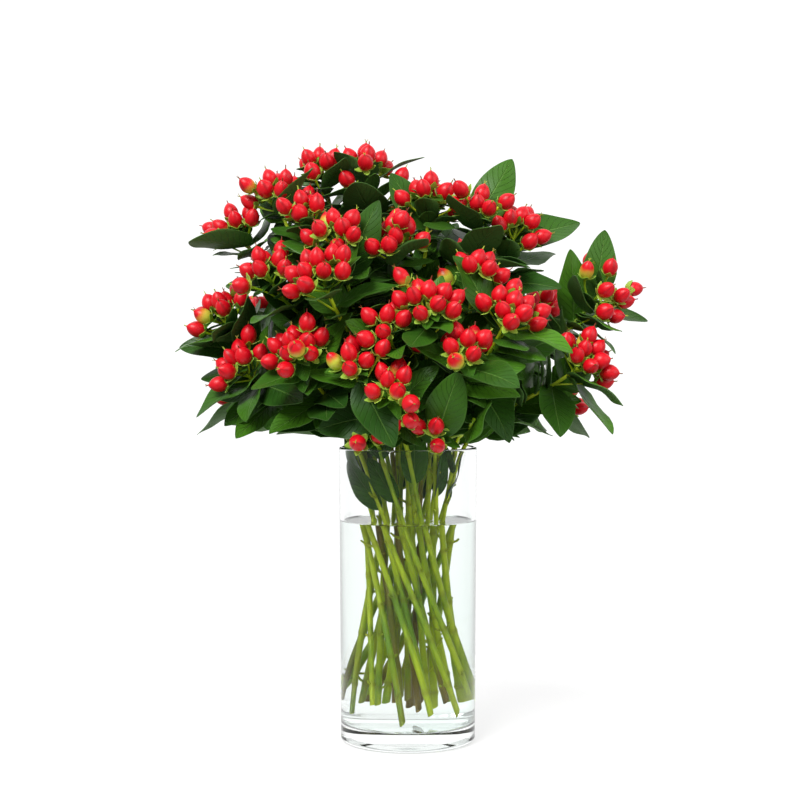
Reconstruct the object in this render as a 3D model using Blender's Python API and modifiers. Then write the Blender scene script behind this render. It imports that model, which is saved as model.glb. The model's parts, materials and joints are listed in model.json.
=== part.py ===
"""Hypericum berry stems, with their leaves, in a clear glass cylinder vase of water.

The origin is the centre of the vase's underside, +Z is up and -Y is the front.
"""
import math
import random

import bmesh
import bpy
from mathutils import Matrix, Vector
from mathutils.bvhtree import BVHTree

MM = 0.001
SEED = 20
UP = Vector((0, 0, 1))

# The vase and its water.
VASE_HEIGHT = 215 * MM
VASE_FOOT_RADIUS = 49.2 * MM
VASE_RIM_RADIUS = 50.4 * MM
VASE_WALL = 3.0 * MM
VASE_FLOOR = 14.0 * MM
VASE_EDGE = 1.2 * MM
VASE_SIDES = 38
WATER_LEVEL = 161 * MM
SEAT_GAP = 0.3 * MM
PLAY = 0.36 * MM

# Under the rim the stems are straight lines in rings, which all turn about the axis alike,
# so they cross at a waist and never meet.
WAIST_HEIGHT = 121 * MM
BUNDLE_TURN = -16.3
EXIT_HEIGHT = 206 * MM
FOOT_LOWEST = 20 * MM
FOOT_SPREAD = 17 * MM
RINGS = ((12, 21.6 * MM), (9, 13.8 * MM), (5, 6.6 * MM), (1, 0.0))
RING_WOBBLE = 0.5 * MM
SWIRL_ABOVE_RIM = 1.15

# Above the rim each stem bends to its own spray.
STEM_FOOT_RADIUS = 2.9 * MM
STEM_NECK_RADIUS = 2.3 * MM
STEM_TOP_RADIUS = 1.2 * MM
STEM_BENDS = 4
STEM_LEAVING = 0.34
STEM_ARRIVING = 0.32
STEM_TRIES = 60
TWIG_RADIUS = 1.1 * MM
TWIG_BENDS = 3
TWIG_TRIES = 60
FAN_CENTRE = Vector((0, 0, 175 * MM))
SPRAY_LIFT = Vector((0, 0, 0.25))
SPRAY_BASE = 8.5 * MM

BERRY_LENGTH = 13.2 * MM
BERRY_RADIUS = 5.8 * MM
BERRY_NOD = math.radians(32)
BERRY_TRIES = 30
TIP_BERRY_RISE = 3 * MM
INNER_CIRCLE_COUNT = 4
INNER_CIRCLE = (11.6 * MM, -1.5 * MM)
OUTER_CIRCLE = (19.0 * MM, -7.5 * MM)
STALK_RADIUS = 0.8 * MM
STALK_ROOT = 1.5 * MM
STALK_SPREAD = 0.62
SOLID_BERRIES = 3
SOLID_OF = 5

LEAF_THICKNESS = 0.7 * MM
LEAF_LENGTH = 54 * MM
LEAF_SLIMNESS = 0.52
LEAF_ARCH = 0.12
LEAF_ROWS = ((0.0, 0.0), (0.30, 1.0), (0.68, 0.78), (1.0, 0.0))
LEAF_SPACING = 42 * MM
LEAF_TRIES = 16
MARKED_SHORTEST = 40 * MM
MARKED_LONGEST = 70 * MM
MARKED_ROOTS = 24
MARKED_TRIES = 12
PAIRS_ON_OUTER_STEM = 3
PAIRS_ON_INNER_STEM = 2
PAIRS_ON_TWIG = 1
MOUTH_LEAF_LENGTH = 40 * MM
MOUTH_LEAF_ROOTS = (166 * MM, 190 * MM)
MOUTH_LEAF_TRIES = 40
FIRST_LEAF = 14 * MM
LOWEST_LEAF = 176 * MM
LEAF_FLOOR = 218 * MM

# Each stem: its sprays as (across, deep, high, berries) in millimetres, the first at the
# stem's own tip and the others on side twigs.
STEMS = (
    ((-98, -15, 405, 8), (-102, -60, 347, 6)),
    ((-127, 0, 382, 8),),
    ((-65, 15, 427, 7), (-74, -45, 387, 5)),
    ((-31, 10, 428, 8),),
    ((-51, -70, 374, 8),),
    ((-61, -100, 345, 9),),
    ((-11, -60, 370, 10),),
    ((16, -20, 402, 8),),
    ((52, -30, 394, 9),),
    ((81, -15, 381, 8),),
    ((13, -110, 324, 10), (-14, -105, 307, 6)),
    ((71, -95, 318, 9), (47, -75, 346, 6)),
    ((39, -118, 293, 7),),
    ((47, -100, 245, 7), (18, -98, 232, 4)),
    ((145, -15, 336, 10),),
    ((133, -35, 286, 12),),
    ((-141, -15, 317, 10), (-123, -50, 279, 7)),
    ((-80, -95, 291, 11),),
    ((-14, -122, 265, 7), (-39, -112, 281, 5)),
    ((-31, -98, 234, 6),),
    ((-105, 75, 325, 9),),
    ((-42, 95, 372, 10),),
    ((36, 80, 366, 10), (-8, 45, 398, 7)),
    ((103, 72, 330, 10),),
    ((-78, 112, 270, 9), (-132, 58, 258, 7)),
    ((5, 128, 298, 11), (-22, 108, 240, 7)),
    ((84, 112, 270, 9), (122, 56, 252, 7)),
)

# Tips of the large leaves that stand out of the bunch, in millimetres.
LEAF_TIPS = (
    (126, 10, 379), (118, -20, 357), (107, -40, 332), (143, -10, 372), (123, -30, 250),
    (75, -10, 423), (-53, -30, 392), (-12, -5, 414), (-22, -65, 389), (-105, -50, 338),
    (-165, -10, 289), (-149, -15, 266), (-121, -50, 224), (-100, -60, 233), (-62, -80, 231),
    (-39, -110, 306), (51, -115, 251), (-10, -115, 221), (32, -118, 269), (105, -70, 226),
    (69, -85, 224), (-45, -110, 251), (-74, -85, 252),
)

# Base colour, roughness and metallic value of each look.
LOOKS = {
    "glass": ((0.86, 0.93, 0.91, 1.0), 0.03, 0.0),
    "water": ((0.80, 0.90, 0.88, 1.0), 0.02, 0.0),
    "green": ((0.06, 0.17, 0.03, 1.0), 0.45, 0.0),
    "berry": ((0.62, 0.01, 0.03, 1.0), 0.22, 0.0),
}


def clear_scene():
    for old in list(bpy.data.objects):
        bpy.data.objects.remove(old, do_unlink=True)


def new_collection(name):
    group = bpy.data.collections.new(name)
    bpy.context.scene.collection.children.link(group)
    return group


def make_material(name, look):
    colour, roughness, metallic = LOOKS[look]
    material = bpy.data.materials.new(name)
    material.use_nodes = True
    shader = material.node_tree.nodes["Principled BSDF"]
    shader.inputs["Base Color"].default_value = colour
    shader.inputs["Roughness"].default_value = roughness
    shader.inputs["Metallic"].default_value = metallic
    material.diffuse_color = colour
    return material


def add_object(name, mesh, group):
    item = bpy.data.objects.new(name, mesh)
    group.objects.link(item)
    return item


def evaluated_mesh(item):
    depsgraph = bpy.context.evaluated_depsgraph_get()
    return bpy.data.meshes.new_from_object(item.evaluated_get(depsgraph))


def mesh_from(bm, name):
    mesh = bpy.data.meshes.new(name)
    bm.to_mesh(mesh)
    bm.free()
    return mesh


def turn_profile(name, profile, group):
    """Turn a profile of (radius, height) points about the Z axis."""
    bm = bmesh.new()
    points = [bm.verts.new((radius, 0, height)) for radius, height in profile]
    for upper, lower in zip(points, points[1:]):
        bm.edges.new((upper, lower))
    item = add_object(name, mesh_from(bm, name), group)
    screw = item.modifiers.new("turn", "SCREW")
    screw.steps = VASE_SIDES
    screw.render_steps = VASE_SIDES
    screw.use_merge_vertices = True
    screw.merge_threshold = 0.00001
    solid = evaluated_mesh(item)
    item.modifiers.clear()
    item.data = solid
    return item


def inner_radius(height):
    """Radius of the vase's inside wall at a height."""
    widening = (VASE_RIM_RADIUS - VASE_FOOT_RADIUS) * height / VASE_HEIGHT
    return VASE_FOOT_RADIUS + widening - VASE_WALL


def build_vase(group):
    profile = (
        (0, VASE_FLOOR),
        (inner_radius(VASE_FLOOR), VASE_FLOOR),
        (inner_radius(VASE_HEIGHT), VASE_HEIGHT - VASE_EDGE),
        (VASE_RIM_RADIUS - VASE_WALL / 2, VASE_HEIGHT),
        (VASE_RIM_RADIUS, VASE_HEIGHT - VASE_EDGE),
        (VASE_FOOT_RADIUS, VASE_EDGE),
        (VASE_FOOT_RADIUS - VASE_EDGE, 0),
        (0, 0),
    )
    vase = turn_profile("vase", profile, group)
    vase.data.materials.append(make_material("vase_glass", "glass"))
    return vase


def build_water(growths, group, cutters):
    """The water, with a plain blind hole for every stem's foot."""
    bottom = VASE_FLOOR + SEAT_GAP
    profile = (
        (0, WATER_LEVEL),
        (inner_radius(WATER_LEVEL) - SEAT_GAP, WATER_LEVEL),
        (inner_radius(bottom) - SEAT_GAP, bottom),
        (0, bottom),
    )
    water = turn_profile("water", profile, group)
    for growth in growths:
        cutter = add_object(f"cut_{growth.number:02d}", growth.stem_mesh(PLAY), cutters)
        cutter.hide_render = True
        cutter.display_type = "WIRE"
    cut = water.modifiers.new("holes", "BOOLEAN")
    cut.operation = "DIFFERENCE"
    cut.operand_type = "COLLECTION"
    cut.collection = cutters
    cut.solver = "MANIFOLD"
    water.data = evaluated_mesh(water)
    water.modifiers.clear()
    water.data.materials.append(make_material("water_clear", "water"))


def tube_mesh(points, radii, resolution, growth=0.0):
    """A closed tube along points; growth widens and lengthens it."""
    first = points[0] + (points[0] - points[1]).normalized() * growth
    last = points[-1] + (points[-1] - points[-2]).normalized() * growth
    route = [first] + list(points[1:-1]) + [last]
    curve = bpy.data.curves.new("tube", "CURVE")
    curve.dimensions = "3D"
    curve.bevel_depth = 1.0
    curve.bevel_resolution = resolution
    curve.use_fill_caps = True
    spline = curve.splines.new("POLY")
    spline.points.add(len(route) - 1)
    for knot, place, radius in zip(spline.points, route, radii):
        knot.co = (*place, 1.0)
        knot.radius = radius + growth
    item = add_object("tube", curve, bpy.context.scene.collection)
    mesh = evaluated_mesh(item)
    bpy.data.objects.remove(item, do_unlink=True)
    bpy.data.curves.remove(curve)
    bm = bmesh.new()
    bm.from_mesh(mesh)
    bmesh.ops.remove_doubles(bm, verts=bm.verts[:], dist=0.00001)
    bm.to_mesh(mesh)
    bm.free()
    return mesh


def stalk_mesh(root, middle, growth=0.0):
    """A berry's three-sided stalk, from its root in the twig to inside the berry."""
    way = (middle - root).normalized()
    start = root - way * growth
    end = middle - way * (BERRY_LENGTH * 0.3 - growth)
    turn = way.to_track_quat("Z", "Y").to_matrix().to_4x4()
    place = Matrix.Translation((start + end) / 2) @ turn
    bm = bmesh.new()
    bmesh.ops.create_cone(bm, segments=3, radius1=STALK_RADIUS + growth,
                          radius2=STALK_RADIUS * 1.15 + growth, depth=(end - start).length,
                          cap_ends=True, cap_tris=True, matrix=place)
    return mesh_from(bm, "stalk")


def berry_mesh(middle, way, aim, growth=0.0):
    """A faceted berry that nods from its stalk's way towards an aim.

    The nod brings the middle of a lower facet, not a corner, to the stalk.
    """
    across = aim - way * aim.dot(way)
    across = across.normalized() if across.length > 0.02 else way.orthogonal().normalized()
    axis = (way * math.cos(BERRY_NOD) + across * math.sin(BERRY_NOD)).normalized()
    front = (axis * math.cos(BERRY_NOD) - way).normalized()
    frame = Matrix((front, axis.cross(front), axis)).transposed().to_4x4()
    girth = BERRY_RADIUS + growth
    size = Matrix.Diagonal((girth, girth, BERRY_LENGTH / 2 + growth, 1))
    bm = bmesh.new()
    bmesh.ops.create_icosphere(bm, subdivisions=1, radius=1.0,
                               matrix=Matrix.Translation(middle) @ frame @ size)
    return mesh_from(bm, "berry")


def leaf_mesh(root, direction, face, length, width, arch, twist, growth=0.0):
    """A blade that starts at root, arches over its length and turns a little about its rib."""
    side = direction.cross(face).normalized()
    up = side.cross(direction).normalized()
    last = len(LEAF_ROWS) - 1
    bm = bmesh.new()
    bmesh.ops.create_grid(bm, x_segments=last, y_segments=1, size=0.5)
    for corner in bm.verts:
        along, share = LEAF_ROWS[round((corner.co.x + 0.5) * last)]
        half = (width / 2 + growth) * share * (1 if corner.co.y > 0 else -1)
        turn = twist * (along - 0.4)
        reach = direction * (length + growth) * along
        fall = up * arch * length * along * along
        corner.co = root + reach - fall + (side * math.cos(turn) + up * math.sin(turn)) * half
    bmesh.ops.remove_doubles(bm, verts=bm.verts[:], dist=0.00001)
    bmesh.ops.triangulate(bm, faces=bm.faces[:])
    bmesh.ops.recalc_face_normals(bm, faces=bm.faces[:])
    bm.normal_update()
    thickness = LEAF_THICKNESS + 2 * growth
    if sum(corner.normal.dot(up) for corner in bm.verts) < 0:
        thickness = -thickness
    for corner in bm.verts:
        corner.co += corner.normal * thickness / 2
    bmesh.ops.solidify(bm, geom=bm.faces[:], thickness=thickness)
    bmesh.ops.recalc_face_normals(bm, faces=bm.faces[:])
    return mesh_from(bm, "leaf")


def tree_of(mesh):
    bm = bmesh.new()
    bm.from_mesh(mesh)
    tree = BVHTree.FromBMesh(bm)
    bm.free()
    return tree


def ball_around(mesh):
    """Centre and radius of a ball that holds a mesh."""
    places = [corner.co for corner in mesh.vertices]
    middle = sum(places, Vector()) / len(places)
    return middle, max((place - middle).length for place in places)


class Thicket:
    """What has been placed so far, to keep each new piece clear of the others."""

    def __init__(self):
        self.taken = []

    def add(self, owner, kind, mesh, mark=None):
        middle, reach = ball_around(mesh)
        self.taken.append((owner, kind, mark, tree_of(mesh), middle, reach))

    def is_clear(self, owner, mesh, own_kinds=(), spared=None):
        """True if the mesh meets no other owner's piece, nor its own pieces of own_kinds.

        Its own pieces whose mark is the spared one may be met.
        """
        middle, reach = ball_around(mesh)
        tree = None
        for other, kind, mark, taken, place, size in self.taken:
            excused = kind not in own_kinds or (spared is not None and mark == spared)
            if other == owner and excused:
                continue
            if (place - middle).length > size + reach:
                continue
            tree = tree or tree_of(mesh)
            if tree.overlap(taken):
                return False
        return True


class Growth:
    """One leafy stem: its path, its twigs, and the meshes that grow from it."""

    def __init__(self, number, ring_radius, angle, sprays, draw):
        outer = ring_radius > (RINGS[0][1] + RINGS[1][1]) / 2
        self.number = number
        self.ring_radius = ring_radius
        self.angle = angle
        self.pairs = PAIRS_ON_OUTER_STEM if outer else PAIRS_ON_INNER_STEM
        self.sprays = [(Vector(spray[:3]) * MM, spray[3]) for spray in sprays]
        self.foot = FOOT_LOWEST + FOOT_SPREAD * draw.random()
        self.stoutness = draw.uniform(0.88, 1.08)
        self.path = []
        self.meshes = []
        self.twigs = []

    def bundle_point(self, height):
        """Where the straight part of the stem is at a height."""
        turn = BUNDLE_TURN * (height - WAIST_HEIGHT)
        x = self.ring_radius * (math.cos(self.angle) - turn * math.sin(self.angle))
        y = self.ring_radius * (math.sin(self.angle) + turn * math.cos(self.angle))
        return Vector((x, y, height))

    def route(self, leaving_share, arriving_share, sway):
        """The stem's points, from its foot over the rim to the base of its first spray."""
        foot = self.bundle_point(self.foot)
        leaving = self.bundle_point(EXIT_HEIGHT)
        way = (leaving - foot).normalized()
        facing = spray_direction(self.sprays[0][0])
        tip = self.sprays[0][0] - facing * SPRAY_BASE
        across = way.cross(facing)
        across = across.normalized() if across.length > 0.05 else Vector((1, 0, 0))
        start_way = (way + across * sway).normalized()
        bends = bend(leaving, start_way, tip, facing, leaving_share, arriving_share, STEM_BENDS)
        return [foot, leaving] + bends

    def stem_mesh(self, growth=0.0):
        neck = STEM_NECK_RADIUS * self.stoutness
        radii = [STEM_FOOT_RADIUS * self.stoutness]
        for step in range(STEM_BENDS + 1):
            radii.append(neck + (STEM_TOP_RADIUS - neck) * step / STEM_BENDS)
        return tube_mesh(self.path, radii, 1, growth)

    def leafy_paths(self):
        """The stem above the water and every side twig, as paths."""
        above_water = [self.bundle_point(WATER_LEVEL + 2 * STEM_FOOT_RADIUS)] + self.path[1:]
        return [above_water] + [twig for twig in self.twigs if twig]


def twig_mesh(points, growth=0.0):
    radii = [TWIG_RADIUS * 1.2] + [TWIG_RADIUS] * TWIG_BENDS
    return tube_mesh(points, radii, 0, growth)


def spray_direction(place):
    outward = (place - FAN_CENTRE).normalized()
    return (outward + SPRAY_LIFT).normalized()


def bend(start, start_way, end, end_way, leaving_share, arriving_share, steps):
    """Points of a curve from start to end that leaves and arrives along two directions."""
    span = (end - start).length
    first = start + start_way * span * leaving_share
    second = end - end_way * span * arriving_share
    points = []
    for step in range(1, steps + 1):
        t = step / steps
        s = 1 - t
        points.append(start * s**3 + first * 3 * s * s * t + second * 3 * s * t * t + end * t**3)
    return points


def path_length(points):
    return sum((after - before).length for before, after in zip(points, points[1:]))


def point_back(points, distance):
    """Point and direction at a distance back from the end of a path."""
    for after, before in zip(reversed(points), reversed(points[:-1])):
        step = (after - before).length
        way = (after - before).normalized()
        if distance <= step:
            return after - way * distance, way
        distance -= step
    return points[0].copy(), (points[1] - points[0]).normalized()


def azimuth(place):
    return math.atan2(place[1], place[0])


def lean_of(sprays):
    across, deep, high = sprays[0][:3]
    return math.atan2(math.hypot(across, deep), high - FAN_CENTRE.z / MM)


def best_turn(sprays_round, angles):
    """The shift and the turn of a ring's places that bring them nearest to their sprays."""
    best = None
    for shift in range(len(angles)):
        gaps = []
        for index, sprays in enumerate(sprays_round):
            angle = angles[(index + shift) % len(angles)]
            gaps.append(math.remainder(azimuth(sprays[0]) - angle, math.tau))
        turn = sum(gaps) / len(gaps)
        spread = sum((gap - turn) ** 2 for gap in gaps)
        if best is None or spread < best[0]:
            best = (spread, shift, turn)
    return best[1:]


def plan_stems(draw):
    """Give each group of sprays a place in the bundle, the widest groups in the outer ring."""
    swirl = math.atan(BUNDLE_TURN * (EXIT_HEIGHT - WAIST_HEIGHT)) * SWIRL_ABOVE_RIM
    groups = sorted(STEMS, key=lean_of, reverse=True)
    growths = []
    for count, radius in RINGS:
        angles = [math.tau * index / count for index in range(count)]
        members = sorted(groups[:count], key=lambda sprays: azimuth(sprays[0]))
        groups = groups[count:]
        shift, turn = best_turn(members, [angle + swirl for angle in angles])
        for index, sprays in enumerate(members):
            wobble = draw.uniform(-RING_WOBBLE, RING_WOBBLE) if radius > 0 else 0.0
            angle = angles[(index + shift) % count] + turn
            growths.append(Growth(len(growths) + 1, radius + wobble, angle, sprays, draw))
    return growths


def lay_stems(growths, thicket, draw):
    """Route every stem clear of the vase and of the stems before it."""
    for growth in growths:
        for attempt in range(STEM_TRIES):
            loose = 0.01 * attempt
            leaving_share = STEM_LEAVING + draw.uniform(-loose, loose)
            arriving_share = STEM_ARRIVING + draw.uniform(-loose, loose)
            sway = draw.uniform(-loose, loose) * 2
            growth.path = growth.route(leaving_share, arriving_share, sway)
            if thicket.is_clear(growth.number, growth.stem_mesh(PLAY)):
                break
        growth.meshes.append(growth.stem_mesh())
        thicket.add(growth.number, "stem", growth.meshes[0])


def lay_twigs(growths, thicket, draw):
    """A side twig to every further spray of a stem, from a fork below its tip."""
    for growth in growths:
        for place, _count in growth.sprays[1:]:
            facing = spray_direction(place)
            tip = place - facing * SPRAY_BASE
            reach = path_length(growth.path[1:])
            growth.twigs.append(None)
            for _attempt in range(TWIG_TRIES):
                start, way = point_back(growth.path, reach * draw.uniform(0.3, 0.85))
                shares = (draw.uniform(0.2, 0.45), draw.uniform(0.2, 0.5))
                points = [start] + bend(start, way, tip, facing, *shares, TWIG_BENDS)
                if thicket.is_clear(growth.number, twig_mesh(points, PLAY)):
                    growth.twigs[-1] = points
                    growth.meshes.append(twig_mesh(points))
                    thicket.add(growth.number, "stem", growth.meshes[-1])
                    break


def hangs_low(place):
    """True for a place beside the vase, below its rim."""
    return place.z < LEAF_FLOOR and math.hypot(place.x, place.y) > VASE_FOOT_RADIUS


def try_leaf(growth, root, tip, width, arch, twist, face, mark, thicket):
    """Grow a leaf if it clears everything but its own stem and the leaves of its own mark."""
    direction = ((tip - root).normalized() + face * arch * 0.9).normalized()
    shape = (root, direction, face, (tip - root).length, width, arch, twist)
    blade = leaf_mesh(*shape)
    if any(hangs_low(corner.co) for corner in blade.vertices):
        return False
    if not thicket.is_clear(growth.number, leaf_mesh(*shape, PLAY), ("berry", "leaf"), mark):
        return False
    growth.meshes.append(blade)
    thicket.add(growth.number, "leaf", blade, mark)
    return True


def roots_for(tip, growths):
    """Places on stems and twigs from which a leaf could reach a tip, the best first."""
    choices = []
    for growth in growths:
        for path in growth.leafy_paths():
            reach = path_length(path)
            for step in range(1, 20):
                place, way = point_back(path, reach * step / 20)
                gap = (tip - place).length
                rise = (tip - place).normalized().dot(way)
                if MARKED_SHORTEST < gap < MARKED_LONGEST and rise > -0.6:
                    cost = abs(gap - LEAF_LENGTH) - rise * 4 * MM
                    choices.append((cost, growth.number, place))
    choices.sort(key=lambda choice: choice[:2])
    return choices[:MARKED_ROOTS]


def lay_marked_leaf(tip, growths, thicket, draw):
    roots = roots_for(tip, growths)
    outward = (tip - FAN_CENTRE).normalized()
    for attempt in range(MARKED_TRIES):
        for _cost, number, root in roots:
            drift = Vector([draw.uniform(-1, 1) * attempt * MM for _axis in range(3)])
            face = (outward * 0.5 + Vector((0, -0.8, 0.35)) + drift / (20 * MM)).normalized()
            width = (tip - root).length * draw.uniform(0.46, 0.54)
            twist = draw.uniform(-0.5, 0.5)
            growth = growths[number - 1]
            if try_leaf(growth, root, tip + drift, width, LEAF_ARCH, twist, face, None, thicket):
                return


def lay_mouth_leaf(growth, thicket, draw):
    """An upright leaf that starts under the rim and rises out of the vase's mouth."""
    for attempt in range(MOUTH_LEAF_TRIES):
        root = growth.bundle_point(draw.uniform(*MOUTH_LEAF_ROOTS))
        outward = Vector((root.x, root.y, 0)).normalized()
        around = outward.cross(UP)
        way = (growth.path[1] - growth.path[0]).normalized()
        rise = way * 1.6 + outward * draw.uniform(-0.2, 0.3) + around * draw.uniform(-1, 1)
        length = MOUTH_LEAF_LENGTH * draw.uniform(0.9, 1.25) * (1 - 0.008 * attempt)
        tip = root + rise.normalized() * length
        face = (outward + around * draw.uniform(-0.4, 0.4)).normalized()
        width = length * LEAF_SLIMNESS * draw.uniform(0.95, 1.15)
        twist = draw.uniform(-0.4, 0.4)
        if try_leaf(growth, root, tip, width, LEAF_ARCH / 2, twist, face, None, thicket):
            return


def spray_places(count, draw):
    """Places of a spray's berries across it: one at the tip, a circle, then a wider circle."""
    places = [(0.0, 0.0, TIP_BERRY_RISE)]
    turn = draw.uniform(0, math.tau)
    near = min(count - 1, INNER_CIRCLE_COUNT)
    far = count - 1 - near
    for index in range(near):
        places.append((INNER_CIRCLE[0], turn + math.tau * index / near, INNER_CIRCLE[1]))
    turn += math.pi / INNER_CIRCLE_COUNT
    for index in range(far):
        places.append((OUTER_CIRCLE[0], turn + math.tau * index / far, OUTER_CIRCLE[1]))
    return places


def grow_berry(growth, path, centre, place, solid, thicket, draw):
    """A berry on its stalk, near its place in the spray; one that isn't solid keeps its room."""
    facing = spray_direction(centre)
    side = facing.orthogonal().normalized()
    other = facing.cross(side)
    radius, turn, rise = place
    for attempt in range(BERRY_TRIES):
        loose = 0.08 * attempt
        angle = turn + draw.uniform(-0.2, 0.2) * (1 + loose)
        out = radius * draw.uniform(0.92, 1.08) + draw.uniform(0, 3) * MM * loose
        height = rise + draw.uniform(-2.0, 2.0) * MM * (1 + loose)
        spread = side * math.cos(angle) + other * math.sin(angle)
        middle = centre + spread * out + facing * height
        root, _way = point_back(path, STALK_ROOT + out * STALK_SPREAD)
        way = (middle - root).normalized()
        aim = (way + facing * 0.5 + UP * 0.35 + spread * 0.2).normalized()
        body = berry_mesh(middle, way, aim, PLAY)
        stalk = stalk_mesh(root, middle, PLAY)
        if not thicket.is_clear(growth.number, body, ("berry", "stalk", "stem", "leaf")):
            continue
        if not thicket.is_clear(growth.number, stalk, ("berry", "leaf")):
            continue
        body = berry_mesh(middle, way, aim)
        stalk = stalk_mesh(root, middle)
        thicket.add(growth.number, "berry", body)
        thicket.add(growth.number, "stalk", stalk)
        if solid:
            growth.meshes += [stalk, body]
        return


def lay_berries(growth, thicket, draw):
    paths = [growth.path] + growth.twigs
    for path, (centre, count) in zip(paths, growth.sprays):
        if not path:
            continue
        for index, place in enumerate(spray_places(count, draw)):
            solid = (index * 2 + growth.number) % SOLID_OF < SOLID_BERRIES
            grow_berry(growth, path, centre, place, solid, thicket, draw)


def lay_pairs(growth, path, pairs, thicket, draw):
    """Opposite pairs of leaves back from a path's end, each pair turned square to the last."""
    back = FIRST_LEAF + draw.uniform(0, 8) * MM
    turn = draw.uniform(0, math.pi)
    for _pair in range(pairs):
        root, way = point_back(path, back)
        if root.z < LOWEST_LEAF or back > path_length(path):
            return
        side = way.orthogonal().normalized()
        for half in (0, math.pi):
            for attempt in range(LEAF_TRIES):
                angle = turn + half + draw.uniform(-0.2, 0.2) * (1 + attempt * 0.5)
                spread = Matrix.Rotation(angle, 3, way) @ side
                steep = root.z < VASE_HEIGHT
                tilt = draw.uniform(0.9, 2.6) if steep else draw.uniform(0.35, 0.9)
                length = LEAF_LENGTH * draw.uniform(0.8, 1.15) * (1 - 0.03 * attempt)
                tip = root + (spread + way * tilt).normalized() * length
                face = (way - spread * tilt).normalized()
                width = length * LEAF_SLIMNESS * draw.uniform(0.9, 1.1)
                arch = draw.uniform(0.06, 0.22)
                twist = draw.uniform(-0.6, 0.6)
                if try_leaf(growth, root, tip, width, arch, twist, face, back, thicket):
                    break
        back += LEAF_SPACING * draw.uniform(0.85, 1.15)
        turn += math.pi / 2


def grow_all(thicket):
    """Lay out every stem with its twigs, leaves and berries, none of them touching another's."""
    draw = random.Random(SEED)
    growths = plan_stems(draw)
    lay_stems(growths, thicket, draw)
    lay_twigs(growths, thicket, draw)
    for mark in LEAF_TIPS:
        lay_marked_leaf(Vector(mark) * MM, growths, thicket, draw)
    for growth in growths[:RINGS[0][0]]:
        lay_mouth_leaf(growth, thicket, draw)
    for growth in growths:
        lay_berries(growth, thicket, draw)
    for growth in growths:
        for number, path in enumerate(growth.leafy_paths()):
            pairs = PAIRS_ON_TWIG if number else growth.pairs
            lay_pairs(growth, path, pairs, thicket, draw)
    return growths


def connected_bodies(bm):
    """The faces of a mesh in connected groups, the largest first."""
    seen = set()
    bodies = []
    for face in bm.faces:
        if face in seen:
            continue
        seen.add(face)
        body = [face]
        for current in body:
            for edge in current.edges:
                for neighbour in edge.link_faces:
                    if neighbour not in seen:
                        seen.add(neighbour)
                        body.append(neighbour)
        bodies.append(body)
    return sorted(bodies, key=len, reverse=True)


def keep_largest_body(mesh):
    """Drop loose scraps and the skins of sealed hollows from a fused mesh."""
    bm = bmesh.new()
    bm.from_mesh(mesh)
    bmesh.ops.triangulate(bm, faces=bm.faces[:])
    bmesh.ops.remove_doubles(bm, verts=bm.verts[:], dist=0.000002)
    bmesh.ops.dissolve_degenerate(bm, edges=bm.edges[:], dist=0.000002)
    scraps = [face for body in connected_bodies(bm)[1:] for face in body]
    bmesh.ops.delete(bm, geom=scraps, context="FACES")
    bmesh.ops.triangulate(bm, faces=bm.faces[:])
    bm.to_mesh(mesh)
    bm.free()


def paint(mesh, materials, index):
    for material in materials:
        mesh.materials.append(material)
    for face in mesh.polygons:
        face.material_index = index


def fuse(item, meshes):
    """Union an object with meshes, and leave one closed body."""
    group = new_collection(item.name + "_repeats")
    for mesh in meshes:
        add_object("repeat", mesh, group)
    union = item.modifiers.new("fuse", "BOOLEAN")
    union.operation = "UNION"
    union.operand_type = "COLLECTION"
    union.collection = group
    union.solver = "MANIFOLD"
    fused = evaluated_mesh(item)
    item.modifiers.clear()
    for repeat in list(group.objects):
        bpy.data.objects.remove(repeat, do_unlink=True)
    bpy.data.collections.remove(group)
    keep_largest_body(fused)
    item.data = fused


def build_stem(growth, group):
    """One leafy stem, fused of its stalk, twigs, leaves and berries."""
    name = f"stem_{growth.number:02d}"
    materials = (make_material(name + "_green", "green"), make_material(name + "_red", "berry"))
    for mesh in growth.meshes:
        paint(mesh, materials, 1 if mesh.name.startswith("berry") else 0)
    item = add_object(name, growth.meshes[0], group)
    fuse(item, growth.meshes[1:])


def main():
    clear_scene()
    parts = new_collection("hypericum_vase")
    cutters = new_collection("cutters")
    vase = build_vase(parts)
    thicket = Thicket()
    thicket.add(0, "vase", vase.data)
    growths = grow_all(thicket)
    build_water(growths, parts, cutters)
    for growth in growths:
        build_stem(growth, parts)


main()
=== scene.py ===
"""Hypericum berry stems in a clear glass vase of water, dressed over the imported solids.

The origin is the centre of the vase's underside, +Z is up and -Y is the front.
"""
import functools
import json
import math
import random

import bmesh
import bpy
from mathutils import Matrix, Vector
from mathutils.bvhtree import BVHTree

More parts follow.
